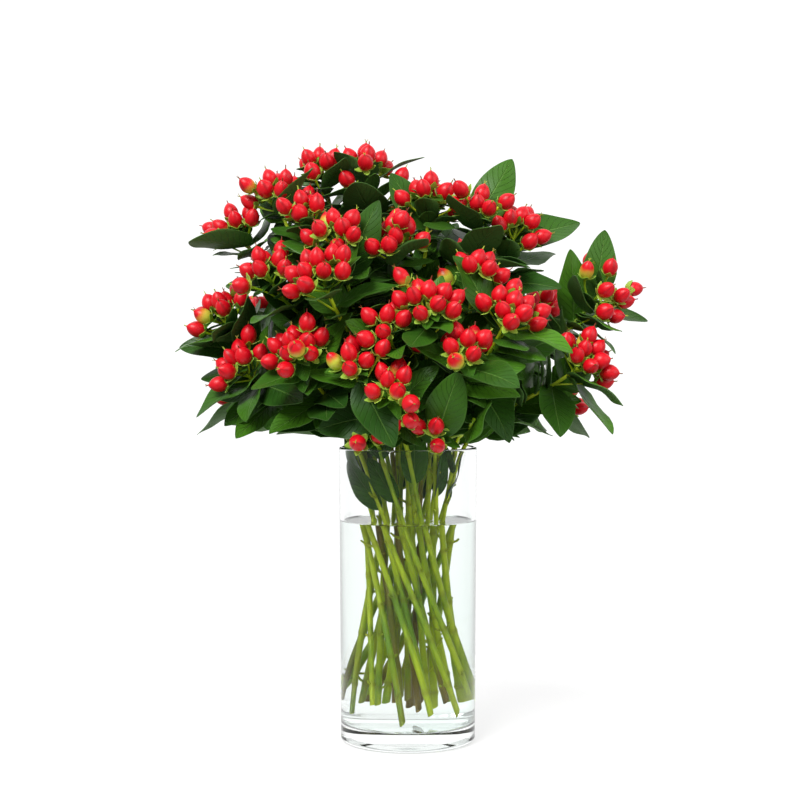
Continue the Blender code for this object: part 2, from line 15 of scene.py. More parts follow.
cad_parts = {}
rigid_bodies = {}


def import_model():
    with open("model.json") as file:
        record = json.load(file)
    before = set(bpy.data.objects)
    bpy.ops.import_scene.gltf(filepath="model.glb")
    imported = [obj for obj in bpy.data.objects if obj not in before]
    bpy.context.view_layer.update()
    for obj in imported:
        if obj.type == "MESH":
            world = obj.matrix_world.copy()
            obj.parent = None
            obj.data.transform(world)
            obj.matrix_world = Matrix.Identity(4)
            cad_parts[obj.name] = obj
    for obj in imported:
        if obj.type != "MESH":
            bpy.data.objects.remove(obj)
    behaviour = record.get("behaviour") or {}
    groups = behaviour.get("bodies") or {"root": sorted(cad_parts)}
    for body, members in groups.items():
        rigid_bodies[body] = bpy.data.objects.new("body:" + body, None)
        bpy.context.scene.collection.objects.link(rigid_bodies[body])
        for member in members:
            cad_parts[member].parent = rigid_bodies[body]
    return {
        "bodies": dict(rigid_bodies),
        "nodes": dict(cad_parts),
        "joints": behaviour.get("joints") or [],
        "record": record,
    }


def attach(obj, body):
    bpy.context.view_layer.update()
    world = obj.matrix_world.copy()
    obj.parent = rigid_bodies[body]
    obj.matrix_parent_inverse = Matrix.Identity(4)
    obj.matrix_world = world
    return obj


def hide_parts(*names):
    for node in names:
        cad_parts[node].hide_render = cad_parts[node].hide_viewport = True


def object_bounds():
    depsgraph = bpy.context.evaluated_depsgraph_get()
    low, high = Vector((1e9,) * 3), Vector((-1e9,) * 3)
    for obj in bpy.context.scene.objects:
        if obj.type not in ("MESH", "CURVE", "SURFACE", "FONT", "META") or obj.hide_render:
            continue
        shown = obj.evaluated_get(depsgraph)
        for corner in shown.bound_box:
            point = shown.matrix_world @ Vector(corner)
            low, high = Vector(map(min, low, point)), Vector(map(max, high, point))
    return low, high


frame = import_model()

CAD_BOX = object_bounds()

bl_info = {
    "name": "Hypericum vase",
    "version": (1, 0, 0),
    "blender": (4, 5, 0),
    "location": "View3D > Sidebar > Hypericum",
    "description": "Red-berried hypericum stems in a glass vase of water",
    "category": "Add Mesh",
}

MM = 0.001
SAME_PLACE = 0.01 * MM
SEED = 20
UP = Vector((0, 0, 1))

# The vase and its water.
VASE_HEIGHT = 215 * MM
VASE_FOOT_RADIUS = 49.2 * MM
VASE_RIM_RADIUS = 50.4 * MM
VASE_WALL = 3.0 * MM
VASE_FLOOR = 14.0 * MM
VASE_EDGE = 1.2 * MM
VASE_SIDES = 38
WATER_LEVEL = 161 * MM
PLAY = 0.36 * MM

# Under the rim the stems are straight lines in rings, which all turn about the axis alike,
# so they cross at a waist and never meet.
WAIST_HEIGHT = 121 * MM
BUNDLE_TURN = -16.3
EXIT_HEIGHT = 206 * MM
FOOT_LOWEST = 20 * MM
FOOT_SPREAD = 17 * MM
RINGS = ((12, 21.6 * MM), (9, 13.8 * MM), (5, 6.6 * MM), (1, 0.0))
RING_WOBBLE = 0.5 * MM
SWIRL_ABOVE_RIM = 1.15

# Above the rim each stem bends to its own spray.
STEM_FOOT_RADIUS = 2.9 * MM
STEM_NECK_RADIUS = 2.3 * MM
STEM_TOP_RADIUS = 1.2 * MM
STEM_BENDS = 4
STEM_LEAVING = 0.34
STEM_ARRIVING = 0.32
STEM_TRIES = 60
TWIG_RADIUS = 1.1 * MM
TWIG_BENDS = 3
TWIG_TRIES = 60
FAN_CENTRE = Vector((0, 0, 175 * MM))
SPRAY_LIFT = Vector((0, 0, 0.25))
SPRAY_BASE = 8.5 * MM

BERRY_LENGTH = 13.2 * MM
BERRY_RADIUS = 5.8 * MM
BERRY_NOD = math.radians(32)
BERRY_TRIES = 30
TIP_BERRY_RISE = 3 * MM
INNER_CIRCLE_COUNT = 4
INNER_CIRCLE = (11.6 * MM, -1.5 * MM)
OUTER_CIRCLE = (19.0 * MM, -7.5 * MM)
STALK_RADIUS = 0.8 * MM
STALK_ROOT = 1.5 * MM
STALK_SPREAD = 0.62

LEAF_THICKNESS = 0.7 * MM
LEAF_LENGTH = 54 * MM
LEAF_SLIMNESS = 0.52
LEAF_ARCH = 0.12
TWIST_CENTRE = 0.4
LEAF_ROWS = ((0.0, 0.0), (0.30, 1.0), (0.68, 0.78), (1.0, 0.0))
LEAF_SPACING = 42 * MM
LEAF_TRIES = 16
MARKED_SHORTEST = 40 * MM
MARKED_LONGEST = 70 * MM
MARKED_STEPS = 20
MARKED_LEAST_RISE = -0.6
MARKED_ROOTS = 24
MARKED_TRIES = 12
PAIRS_ON_OUTER_STEM = 3
PAIRS_ON_INNER_STEM = 2
PAIRS_ON_TWIG = 1
MOUTH_LEAF_LENGTH = 40 * MM
MOUTH_LEAF_ROOTS = (166 * MM, 190 * MM)
MOUTH_LEAF_TRIES = 40
FIRST_LEAF = 14 * MM
LOWEST_LEAF = 176 * MM
LEAF_FLOOR = 218 * MM

# Each stem: its sprays as (across, deep, high, berries) in millimetres, the first at the
# stem's own tip and the others on side twigs.
STEMS = (
    ((-98, -15, 405, 8), (-102, -60, 347, 6)),
    ((-127, 0, 382, 8),),
    ((-65, 15, 427, 7), (-74, -45, 387, 5)),
    ((-31, 10, 428, 8),),
    ((-51, -70, 374, 8),),
    ((-61, -100, 345, 9),),
    ((-11, -60, 370, 10),),
    ((16, -20, 402, 8),),
    ((52, -30, 394, 9),),
    ((81, -15, 381, 8),),
    ((13, -110, 324, 10), (-14, -105, 307, 6)),
    ((71, -95, 318, 9), (47, -75, 346, 6)),
    ((39, -118, 293, 7),),
    ((47, -100, 245, 7), (18, -98, 232, 4)),
    ((145, -15, 336, 10),),
    ((133, -35, 286, 12),),
    ((-141, -15, 317, 10), (-123, -50, 279, 7)),
    ((-80, -95, 291, 11),),
    ((-14, -122, 265, 7), (-39, -112, 281, 5)),
    ((-31, -98, 234, 6),),
    ((-105, 75, 325, 9),),
    ((-42, 95, 372, 10),),
    ((36, 80, 366, 10), (-8, 45, 398, 7)),
    ((103, 72, 330, 10),),
    ((-78, 112, 270, 9), (-132, 58, 258, 7)),
    ((5, 128, 298, 11), (-22, 108, 240, 7)),
    ((84, 112, 270, 9), (122, 56, 252, 7)),
)

# Tips of the large leaves that stand out of the bunch, in millimetres.
LEAF_TIPS = (
    (126, 10, 379), (118, -20, 357), (107, -40, 332), (143, -10, 372), (123, -30, 250),
    (75, -10, 423), (-53, -30, 392), (-12, -5, 414), (-22, -65, 389), (-105, -50, 338),
    (-165, -10, 289), (-149, -15, 266), (-121, -50, 224), (-100, -60, 233), (-62, -80, 231),
    (-39, -110, 306), (51, -115, 251), (-10, -115, 221), (32, -118, 269), (105, -70, 226),
    (69, -85, 224), (-45, -110, 251), (-74, -85, 252),
)


def add_object(name, data):
    item = bpy.data.objects.new(name, data)
    bpy.context.scene.collection.objects.link(item)
    return item


def square_to(axis):
    """Two directions square to an axis and to each other."""
    side = axis.orthogonal().normalized()
    return side, axis.cross(side)


def spoke_at(sides, angle):
    """The direction at an angle between two that are square to each other."""
    side, other = sides
    return side * math.cos(angle) + other * math.sin(angle)


def evaluated_mesh(item):
    depsgraph = bpy.context.evaluated_depsgraph_get()
    return bpy.data.meshes.new_from_object(item.evaluated_get(depsgraph))


def mesh_from(bm, name):
    mesh = bpy.data.meshes.new(name)
    bm.to_mesh(mesh)
    bm.free()
    return mesh


def face_outward(mesh):
    bm = bmesh.new()
    bm.from_mesh(mesh)
    bmesh.ops.recalc_face_normals(bm, faces=bm.faces[:])
    bm.to_mesh(mesh)
    bm.free()


def turned_mesh(profile, sides):
    """Turn a profile of (radius, height) points about the Z axis."""
    bm = bmesh.new()
    points = [bm.verts.new((radius, 0, height)) for radius, height in profile]
    for upper, lower in zip(points, points[1:]):
        bm.edges.new((upper, lower))
    item = add_object("turned", mesh_from(bm, "turned"))
    screw = item.modifiers.new("turn", "SCREW")
    screw.steps = sides
    screw.render_steps = sides
    screw.use_merge_vertices = True
    screw.merge_threshold = SAME_PLACE
    solid = evaluated_mesh(item)
    bpy.data.objects.remove(item, do_unlink=True)
    face_outward(solid)
    return solid


def inner_radius(height):
    """Radius of the vase's inside wall at a height."""
    widening = (VASE_RIM_RADIUS - VASE_FOOT_RADIUS) * height / VASE_HEIGHT
    return VASE_FOOT_RADIUS + widening - VASE_WALL


def plain_vase_mesh():
    """The vase with few sides, which the stems keep clear of."""
    return turned_mesh((
        (0, VASE_FLOOR),
        (inner_radius(VASE_FLOOR), VASE_FLOOR),
        (inner_radius(VASE_HEIGHT), VASE_HEIGHT - VASE_EDGE),
        (VASE_RIM_RADIUS - VASE_WALL / 2, VASE_HEIGHT),
        (VASE_RIM_RADIUS, VASE_HEIGHT - VASE_EDGE),
        (VASE_FOOT_RADIUS, VASE_EDGE),
        (VASE_FOOT_RADIUS - VASE_EDGE, 0),
        (0, 0),
    ), VASE_SIDES)


def tube_mesh(points, radii, resolution, growth=0.0):
    """A closed tube along points; growth widens and lengthens it."""
    first = points[0] + (points[0] - points[1]).normalized() * growth
    last = points[-1] + (points[-1] - points[-2]).normalized() * growth
    route = [first] + list(points[1:-1]) + [last]
    curve = bpy.data.curves.new("tube", "CURVE")
    curve.dimensions = "3D"
    curve.bevel_depth = 1.0
    curve.bevel_resolution = resolution
    curve.use_fill_caps = True
    spline = curve.splines.new("POLY")
    spline.points.add(len(route) - 1)
    for knot, place, radius in zip(spline.points, route, radii):
        knot.co = (*place, 1.0)
        knot.radius = radius + growth
    item = add_object("tube", curve)
    mesh = evaluated_mesh(item)
    bpy.data.objects.remove(item, do_unlink=True)
    bpy.data.curves.remove(curve)
    bm = bmesh.new()
    bm.from_mesh(mesh)
    bmesh.ops.remove_doubles(bm, verts=bm.verts[:], dist=SAME_PLACE)
    bm.to_mesh(mesh)
    bm.free()
    return mesh


def stalk_mesh(root, middle, growth=0.0):
    """A berry's three-sided stalk, from its root in the twig to inside the berry."""
    way = (middle - root).normalized()
    start = root - way * growth
    end = middle - way * (BERRY_LENGTH * 0.3 - growth)
    turn = way.to_track_quat("Z", "Y").to_matrix().to_4x4()
    place = Matrix.Translation((start + end) / 2) @ turn
    bm = bmesh.new()
    bmesh.ops.create_cone(bm, segments=3, radius1=STALK_RADIUS + growth,
                          radius2=STALK_RADIUS * 1.15 + growth, depth=(end - start).length,
                          cap_ends=True, cap_tris=True, matrix=place)
    return mesh_from(bm, "stalk")


def nodding_axis(way, aim):
    """The axis of a berry that nods from its stalk's way towards an aim."""
    across = aim - way * aim.dot(way)
    across = across.normalized() if across.length > 0.02 else way.orthogonal().normalized()
    return (way * math.cos(BERRY_NOD) + across * math.sin(BERRY_NOD)).normalized()


def berry_mesh(middle, way, aim, growth=0.0):
    """A faceted berry that nods from its stalk's way towards an aim.

    The nod brings the middle of a lower facet, not a corner, to the stalk.
    """
    axis = nodding_axis(way, aim)
    front = (axis * math.cos(BERRY_NOD) - way).normalized()
    frame = Matrix((front, axis.cross(front), axis)).transposed().to_4x4()
    girth = BERRY_RADIUS + growth
    size = Matrix.Diagonal((girth, girth, BERRY_LENGTH / 2 + growth, 1))
    bm = bmesh.new()
    bmesh.ops.create_icosphere(bm, subdivisions=1, radius=1.0,
                               matrix=Matrix.Translation(middle) @ frame @ size)
    return mesh_from(bm, "berry")


def leaf_mesh(root, direction, face, length, width, arch, twist, growth=0.0):
    """A blade that starts at root, arches over its length and turns a little about its rib."""
    side = direction.cross(face).normalized()
    up = side.cross(direction).normalized()
    last = len(LEAF_ROWS) - 1
    bm = bmesh.new()
    bmesh.ops.create_grid(bm, x_segments=last, y_segments=1, size=0.5)
    for corner in bm.verts:
        along, share = LEAF_ROWS[round((corner.co.x + 0.5) * last)]
        half = (width / 2 + growth) * share * (1 if corner.co.y > 0 else -1)
        reach = direction * (length + growth) * along
        fall = up * arch * length * along * along
        out = spoke_at((side, up), twist * (along - TWIST_CENTRE))
        corner.co = root + reach - fall + out * half
    bmesh.ops.remove_doubles(bm, verts=bm.verts[:], dist=SAME_PLACE)
    bmesh.ops.triangulate(bm, faces=bm.faces[:])
    bmesh.ops.recalc_face_normals(bm, faces=bm.faces[:])
    bm.normal_update()
    thickness = LEAF_THICKNESS + 2 * growth
    if sum(corner.normal.dot(up) for corner in bm.verts) < 0:
        thickness = -thickness
    for corner in bm.verts:
        corner.co += corner.normal * thickness / 2
    bmesh.ops.solidify(bm, geom=bm.faces[:], thickness=thickness)
    bmesh.ops.recalc_face_normals(bm, faces=bm.faces[:])
    return mesh_from(bm, "leaf")


def tree_of(mesh):
    bm = bmesh.new()
    bm.from_mesh(mesh)
    tree = BVHTree.FromBMesh(bm)
    bm.free()
    return tree


def ball_around(mesh):
    """Centre and radius of a ball that holds a mesh."""
    places = [corner.co for corner in mesh.vertices]
    middle = sum(places, Vector()) / len(places)
    return middle, max((place - middle).length for place in places)


class Thicket:
    """What has been placed so far, to keep each new piece clear of the others."""

    def __init__(self):
        self.taken = []

    def add(self, owner, kind, mesh, mark=None):
        middle, reach = ball_around(mesh)
        self.taken.append((owner, kind, mark, tree_of(mesh), middle, reach))

    def is_clear(self, owner, mesh, own_kinds=(), spared=None):
        """True if the mesh meets no other owner's piece, nor its own pieces of own_kinds.

        Its own pieces whose mark is the spared one may be met.
        """
        middle, reach = ball_around(mesh)
        tree = None
        for other, kind, mark, taken, place, size in self.taken:
            excused = kind not in own_kinds or (spared is not None and mark == spared)
            if other == owner and excused:
                continue
            if (place - middle).length > size + reach:
                continue
            tree = tree or tree_of(mesh)
            if tree.overlap(taken):
                return False
        return True


class Growth:
    """One leafy stem: its path, its twigs, and the shapes of its leaves and berries."""

    def __init__(self, number, ring_radius, angle, sprays, draw):
        outer = ring_radius > (RINGS[0][1] + RINGS[1][1]) / 2
        self.number = number
        self.name = f"stem_{number:02d}"
        self.ring_radius = ring_radius
        self.angle = angle
        self.pairs = PAIRS_ON_OUTER_STEM if outer else PAIRS_ON_INNER_STEM
        self.sprays = [(Vector(spray[:3]) * MM, spray[3]) for spray in sprays]
        self.foot = FOOT_LOWEST + FOOT_SPREAD * draw.random()
        self.stoutness = draw.uniform(0.88, 1.08)
        self.path = []
        self.shares = ()
        self.twigs = []
        self.twig_curves = []
        self.leaves = []
        self.berries = []

    def bundle_point(self, height):
        """Where the straight part of the stem is at a height."""
        turn = BUNDLE_TURN * (height - WAIST_HEIGHT)
        x = self.ring_radius * (math.cos(self.angle) - turn * math.sin(self.angle))
        y = self.ring_radius * (math.sin(self.angle) + turn * math.cos(self.angle))
        return Vector((x, y, height))

    def route(self, leaving_share, arriving_share, sway, steps=STEM_BENDS):
        """The stem's points, from its foot over the rim to the base of its first spray."""
        foot = self.bundle_point(self.foot)
        leaving = self.bundle_point(EXIT_HEIGHT)
        way = (leaving - foot).normalized()
        facing = spray_direction(self.sprays[0][0])
        tip = self.sprays[0][0] - facing * SPRAY_BASE
        across = way.cross(facing)
        across = across.normalized() if across.length > 0.05 else Vector((1, 0, 0))
        start_way = (way + across * sway).normalized()
        bends = bend(leaving, start_way, tip, facing, leaving_share, arriving_share, steps)
        return [foot, leaving] + bends

    def stem_mesh(self, growth=0.0):
        neck = STEM_NECK_RADIUS * self.stoutness
        radii = [STEM_FOOT_RADIUS * self.stoutness]
        for step in range(STEM_BENDS + 1):
            radii.append(neck + (STEM_TOP_RADIUS - neck) * step / STEM_BENDS)
        return tube_mesh(self.path, radii, 1, growth)

    def leafy_paths(self):
        """The stem above the water and every side twig, as paths."""
        above_water = [self.bundle_point(WATER_LEVEL + 2 * STEM_FOOT_RADIUS)] + self.path[1:]
        return [above_water] + [twig for twig in self.twigs if twig]

    def carried_sprays(self):
        """Each spray that its stem or twig reaches: the path, the centre and the berry count."""
        paths = [self.path] + self.twigs
        return [(path, *spray) for path, spray in zip(paths, self.sprays) if path]


def twig_mesh(points, growth=0.0):
    radii = [TWIG_RADIUS * 1.2] + [TWIG_RADIUS] * TWIG_BENDS
    return tube_mesh(points, radii, 0, growth)


def spray_direction(place):
    outward = (place - FAN_CENTRE).normalized()
    return (outward + SPRAY_LIFT).normalized()


def bend(start, start_way, end, end_way, leaving_share, arriving_share, steps):
    """Points of a curve from start to end that leaves and arrives along two directions."""
    span = (end - start).length
    first = start + start_way * span * leaving_share
    second = end - end_way * span * arriving_share
    points = []
    for step in range(1, steps + 1):
        t = step / steps
        s = 1 - t
        points.append(start * s**3 + first * 3 * s * s * t + second * 3 * s * t * t + end * t**3)
    return points


def path_length(points):
    return sum((after - before).length for before, after in zip(points, points[1:]))


def point_back(points, distance):
    """Point and direction at a distance back from the end of a path."""
    for after, before in zip(reversed(points), reversed(points[:-1])):
        step = (after - before).length
        way = (after - before).normalized()
        if distance <= step:
            return after - way * distance, way
        distance -= step
    return points[0].copy(), (points[1] - points[0]).normalized()


def azimuth(place):
    return math.atan2(place[1], place[0])


def lean_of(sprays):
    across, deep, high = sprays[0][:3]
    return math.atan2(math.hypot(across, deep), high - FAN_CENTRE.z / MM)


def best_turn(sprays_round, angles):
    """The shift and the turn of a ring's places that bring them nearest to their sprays."""
    best = None
    for shift in range(len(angles)):
        gaps = []
        for index, sprays in enumerate(sprays_round):
            angle = angles[(index + shift) % len(angles)]
            gaps.append(math.remainder(azimuth(sprays[0]) - angle, math.tau))
        turn = sum(gaps) / len(gaps)
        spread = sum((gap - turn) ** 2 for gap in gaps)
        if best is None or spread < best[0]:
            best = (spread, shift, turn)
    return best[1:]


def plan_stems(draw):
    """Give each group of sprays a place in the bundle, the widest groups in the outer ring."""
    swirl = math.atan(BUNDLE_TURN * (EXIT_HEIGHT - WAIST_HEIGHT)) * SWIRL_ABOVE_RIM
    groups = sorted(STEMS, key=lean_of, reverse=True)
    growths = []
    for count, radius in RINGS:
        angles = [math.tau * index / count for index in range(count)]
        members = sorted(groups[:count], key=lambda sprays: azimuth(sprays[0]))
        groups = groups[count:]
        shift, turn = best_turn(members, [angle + swirl for angle in angles])
        for index, sprays in enumerate(members):
            wobble = draw.uniform(-RING_WOBBLE, RING_WOBBLE) if radius > 0 else 0.0
            angle = angles[(index + shift) % count] + turn
            growths.append(Growth(len(growths) + 1, radius + wobble, angle, sprays, draw))
    return growths


def lay_stems(growths, thicket, draw):
    """Route every stem clear of the vase and of the stems before it."""
    for growth in growths:
        for attempt in range(STEM_TRIES):
            loose = 0.01 * attempt
            leaving_share = STEM_LEAVING + draw.uniform(-loose, loose)
            arriving_share = STEM_ARRIVING + draw.uniform(-loose, loose)
            sway = draw.uniform(-loose, loose) * 2
            growth.shares = (leaving_share, arriving_share, sway)
            growth.path = growth.route(*growth.shares)
            if thicket.is_clear(growth.number, growth.stem_mesh(PLAY)):
                break
        thicket.add(growth.number, "stem", growth.stem_mesh())


def lay_twigs(growths, thicket, draw):
    """A side twig to every further spray of a stem, from a fork below its tip."""
    for growth in growths:
        for place, _count in growth.sprays[1:]:
            facing = spray_direction(place)
            tip = place - facing * SPRAY_BASE
            reach = path_length(growth.path[1:])
            growth.twigs.append(None)
            growth.twig_curves.append(None)
            for _attempt in range(TWIG_TRIES):
                start, way = point_back(growth.path, reach * draw.uniform(0.3, 0.85))
                shares = (draw.uniform(0.2, 0.45), draw.uniform(0.2, 0.5))
                points = [start] + bend(start, way, tip, facing, *shares, TWIG_BENDS)
                if thicket.is_clear(growth.number, twig_mesh(points, PLAY)):
                    growth.twigs[-1] = points
                    growth.twig_curves[-1] = (start, way, tip, facing, *shares)
                    thicket.add(growth.number, "stem", twig_mesh(points))
                    break


def hangs_low(place):
    """True for a place beside the vase, below its rim."""
    return place.z < LEAF_FLOOR and math.hypot(place.x, place.y) > VASE_FOOT_RADIUS


def try_leaf(growth, root, tip, width, arch, twist, face, mark, thicket):
    """Grow a leaf if it clears everything but its own stem and the leaves of its own mark."""
    direction = ((tip - root).normalized() + face * arch * 0.9).normalized()
    shape = (root, direction, face, (tip - root).length, width, arch, twist)
    blade = leaf_mesh(*shape)
    if any(hangs_low(corner.co) for corner in blade.vertices):
        return False
    if not thicket.is_clear(growth.number, leaf_mesh(*shape, PLAY), ("berry", "leaf"), mark):
        return False
    growth.leaves.append(shape)
    thicket.add(growth.number, "leaf", blade, mark)
    return True


def roots_for(tip, growths):
    """Places on stems and twigs from which a leaf could reach a tip, the best first."""
    choices = []
    for growth in growths:
        for path in growth.leafy_paths():
            reach = path_length(path)
            for step in range(1, MARKED_STEPS):
                place, way = point_back(path, reach * step / MARKED_STEPS)
                gap = (tip - place).length
                rise = (tip - place).normalized().dot(way)
                if MARKED_SHORTEST < gap < MARKED_LONGEST and rise > MARKED_LEAST_RISE:
                    cost = abs(gap - LEAF_LENGTH) - rise * 4 * MM
                    choices.append((cost, growth.number, place))
    choices.sort(key=lambda choice: choice[:2])
    return choices[:MARKED_ROOTS]


def lay_marked_leaf(tip, growths, thicket, draw):
    roots = roots_for(tip, growths)
    outward = (tip - FAN_CENTRE).normalized()
    for attempt in range(MARKED_TRIES):
        for _cost, number, root in roots:
            drift = Vector([draw.uniform(-1, 1) * attempt * MM for _axis in range(3)])
            face = (outward * 0.5 + Vector((0, -0.8, 0.35)) + drift / (20 * MM)).normalized()
            width = (tip - root).length * draw.uniform(0.46, 0.54)
            twist = draw.uniform(-0.5, 0.5)
            growth = growths[number - 1]
            if try_leaf(growth, root, tip + drift, width, LEAF_ARCH, twist, face, None, thicket):
                return


def lay_mouth_leaf(growth, thicket, draw):
    """An upright leaf that starts under the rim and rises out of the vase's mouth."""
    for attempt in range(MOUTH_LEAF_TRIES):
        root = growth.bundle_point(draw.uniform(*MOUTH_LEAF_ROOTS))
        outward = Vector((root.x, root.y, 0)).normalized()
        around = outward.cross(UP)
        way = (growth.path[1] - growth.path[0]).normalized()
        rise = way * 1.6 + outward * draw.uniform(-0.2, 0.3) + around * draw.uniform(-1, 1)
        length = MOUTH_LEAF_LENGTH * draw.uniform(0.9, 1.25) * (1 - 0.008 * attempt)
        tip = root + rise.normalized() * length
        face = (outward + around * draw.uniform(-0.4, 0.4)).normalized()
        width = length * LEAF_SLIMNESS * draw.uniform(0.95, 1.15)
        twist = draw.uniform(-0.4, 0.4)
        if try_leaf(growth, root, tip, width, LEAF_ARCH / 2, twist, face, None, thicket):
            return


def spray_places(count, draw):
    """Places of a spray's berries across it: one at the tip, a circle, then a wider circle."""
    places = [(0.0, 0.0, TIP_BERRY_RISE)]
    turn = draw.uniform(0, math.tau)
    near = min(count - 1, INNER_CIRCLE_COUNT)
    far = count - 1 - near
    for index in range(near):
        places.append((INNER_CIRCLE[0], turn + math.tau * index / near, INNER_CIRCLE[1]))
    turn += math.pi / INNER_CIRCLE_COUNT
    for index in range(far):
        places.append((OUTER_CIRCLE[0], turn + math.tau * index / far, OUTER_CIRCLE[1]))
    return places


def try_berry(growth, root, middle, way, aim, play, thicket):
    """Take the room of a berry and its stalk if both are clear of the rest."""
    body = berry_mesh(middle, way, aim, play)
    stalk = stalk_mesh(root, middle, play)
    if not thicket.is_clear(growth.number, body, ("berry", "stalk", "stem", "leaf")):
        return False
    if not thicket.is_clear(growth.number, stalk, ("berry", "leaf")):
        return False
    thicket.add(growth.number, "berry", berry_mesh(middle, way, aim))
    thicket.add(growth.number, "stalk", stalk_mesh(root, middle))
    return True


def grow_berry(growth, path, centre, place, thicket, draw):
    """A berry on its stalk, near its place in the spray."""
    facing = spray_direction(centre)
    sides = square_to(facing)
    radius, turn, rise = place
    for attempt in range(BERRY_TRIES):
        loose = 0.08 * attempt
        angle = turn + draw.uniform(-0.2, 0.2) * (1 + loose)
        out = radius * draw.uniform(0.92, 1.08) + draw.uniform(0, 3) * MM * loose
        height = rise + draw.uniform(-2.0, 2.0) * MM * (1 + loose)
        spread = spoke_at(sides, angle)
        middle = centre + spread * out + facing * height
        root, _way = point_back(path, STALK_ROOT + out * STALK_SPREAD)
        way = (middle - root).normalized()
        aim = (way + facing * 0.5 + UP * 0.35 + spread * 0.2).normalized()
        if try_berry(growth, root, middle, way, aim, PLAY, thicket):
            growth.berries.append((root, middle, way, nodding_axis(way, aim)))
            return


def lay_berries(growth, thicket, draw):
    for path, centre, count in growth.carried_sprays():
        for place in spray_places(count, draw):
            grow_berry(growth, path, centre, place, thicket, draw)


def lay_pairs(growth, path, pairs, thicket, draw):
    """Opposite pairs of leaves back from a path's end, each pair turned square to the last."""
    back = FIRST_LEAF + draw.uniform(0, 8) * MM
    turn = draw.uniform(0, math.pi)
    for _pair in range(pairs):
        root, way = point_back(path, back)
        if root.z < LOWEST_LEAF or back > path_length(path):
            return
        side = way.orthogonal().normalized()
        for half in (0, math.pi):
            for attempt in range(LEAF_TRIES):
                angle = turn + half + draw.uniform(-0.2, 0.2) * (1 + attempt * 0.5)
                spread = Matrix.Rotation(angle, 3, way) @ side
                steep = root.z < VASE_HEIGHT
                tilt = draw.uniform(0.9, 2.6) if steep else draw.uniform(0.35, 0.9)
                length = LEAF_LENGTH * draw.uniform(0.8, 1.15) * (1 - 0.03 * attempt)
                tip = root + (spread + way * tilt).normalized() * length
                face = (way - spread * tilt).normalized()
                width = length * LEAF_SLIMNESS * draw.uniform(0.9, 1.1)
                arch = draw.uniform(0.06, 0.22)
                twist = draw.uniform(-0.6, 0.6)
                if try_leaf(growth, root, tip, width, arch, twist, face, back, thicket):
                    break
        back += LEAF_SPACING * draw.uniform(0.85, 1.15)
        turn += math.pi / 2


@functools.cache
def planned_bunch():
    """The stems with the twigs, leaves and berries of the solids' plan, and their thicket."""
    draw = random.Random(SEED)
    thicket = Thicket()
    thicket.add(0, "vase", plain_vase_mesh())
    growths = plan_stems(draw)
    lay_stems(growths, thicket, draw)
    lay_twigs(growths, thicket, draw)
    for mark in LEAF_TIPS:
        lay_marked_leaf(Vector(mark) * MM, growths, thicket, draw)
    for growth in growths[:RINGS[0][0]]:
        lay_mouth_leaf(growth, thicket, draw)
    for growth in growths:
        lay_berries(growth, thicket, draw)
    for growth in growths:
        for number, path in enumerate(growth.leafy_paths()):
            pairs = PAIRS_ON_TWIG if number else growth.pairs
            lay_pairs(growth, path, pairs, thicket, draw)
    return growths, thicket


def amount_property(name, description, default, **limits):
    return bpy.props.FloatProperty(
        name=name, description=description, default=default, min=0.0, **limits)


def length_property(name, description, default):
    return amount_property(name, description, default, unit="LENGTH")


def colour_property(name, description, default):
    return bpy.props.FloatVectorProperty(
        name=name, description=description, default=(*default, 1.0), size=4,
        subtype="COLOR", min=0.0, max=1.0)


class HypericumSizes(bpy.types.PropertyGroup):
    """Sizes of the fine pieces."""

    glass_sides: bpy.props.IntProperty(
        name="Glass sides", description="Facets round the vase", default=160, min=32)
    water_overlap: length_property("Water overlap", "How far water goes into the glass", 0.5 * MM)
    water_climb: length_property("Water climb", "Rise of the water's edge at the glass", 0.9 * MM)
    joint_spacing: length_property("Joint spacing", "Distance between a stalk's joints", 37 * MM)
    leaf_thickness: length_property("Leaf thickness", "Thickness of a leaf", 0.4 * MM)
    sepal_length: length_property("Sepal length", "Length of a berry's sepals", 6.4 * MM)
    style_length: length_property("Style length", "Length of a berry's threads", 2.6 * MM)
    bract_length: length_property("Bract length", "Length of the leaves among berries", 19 * MM)


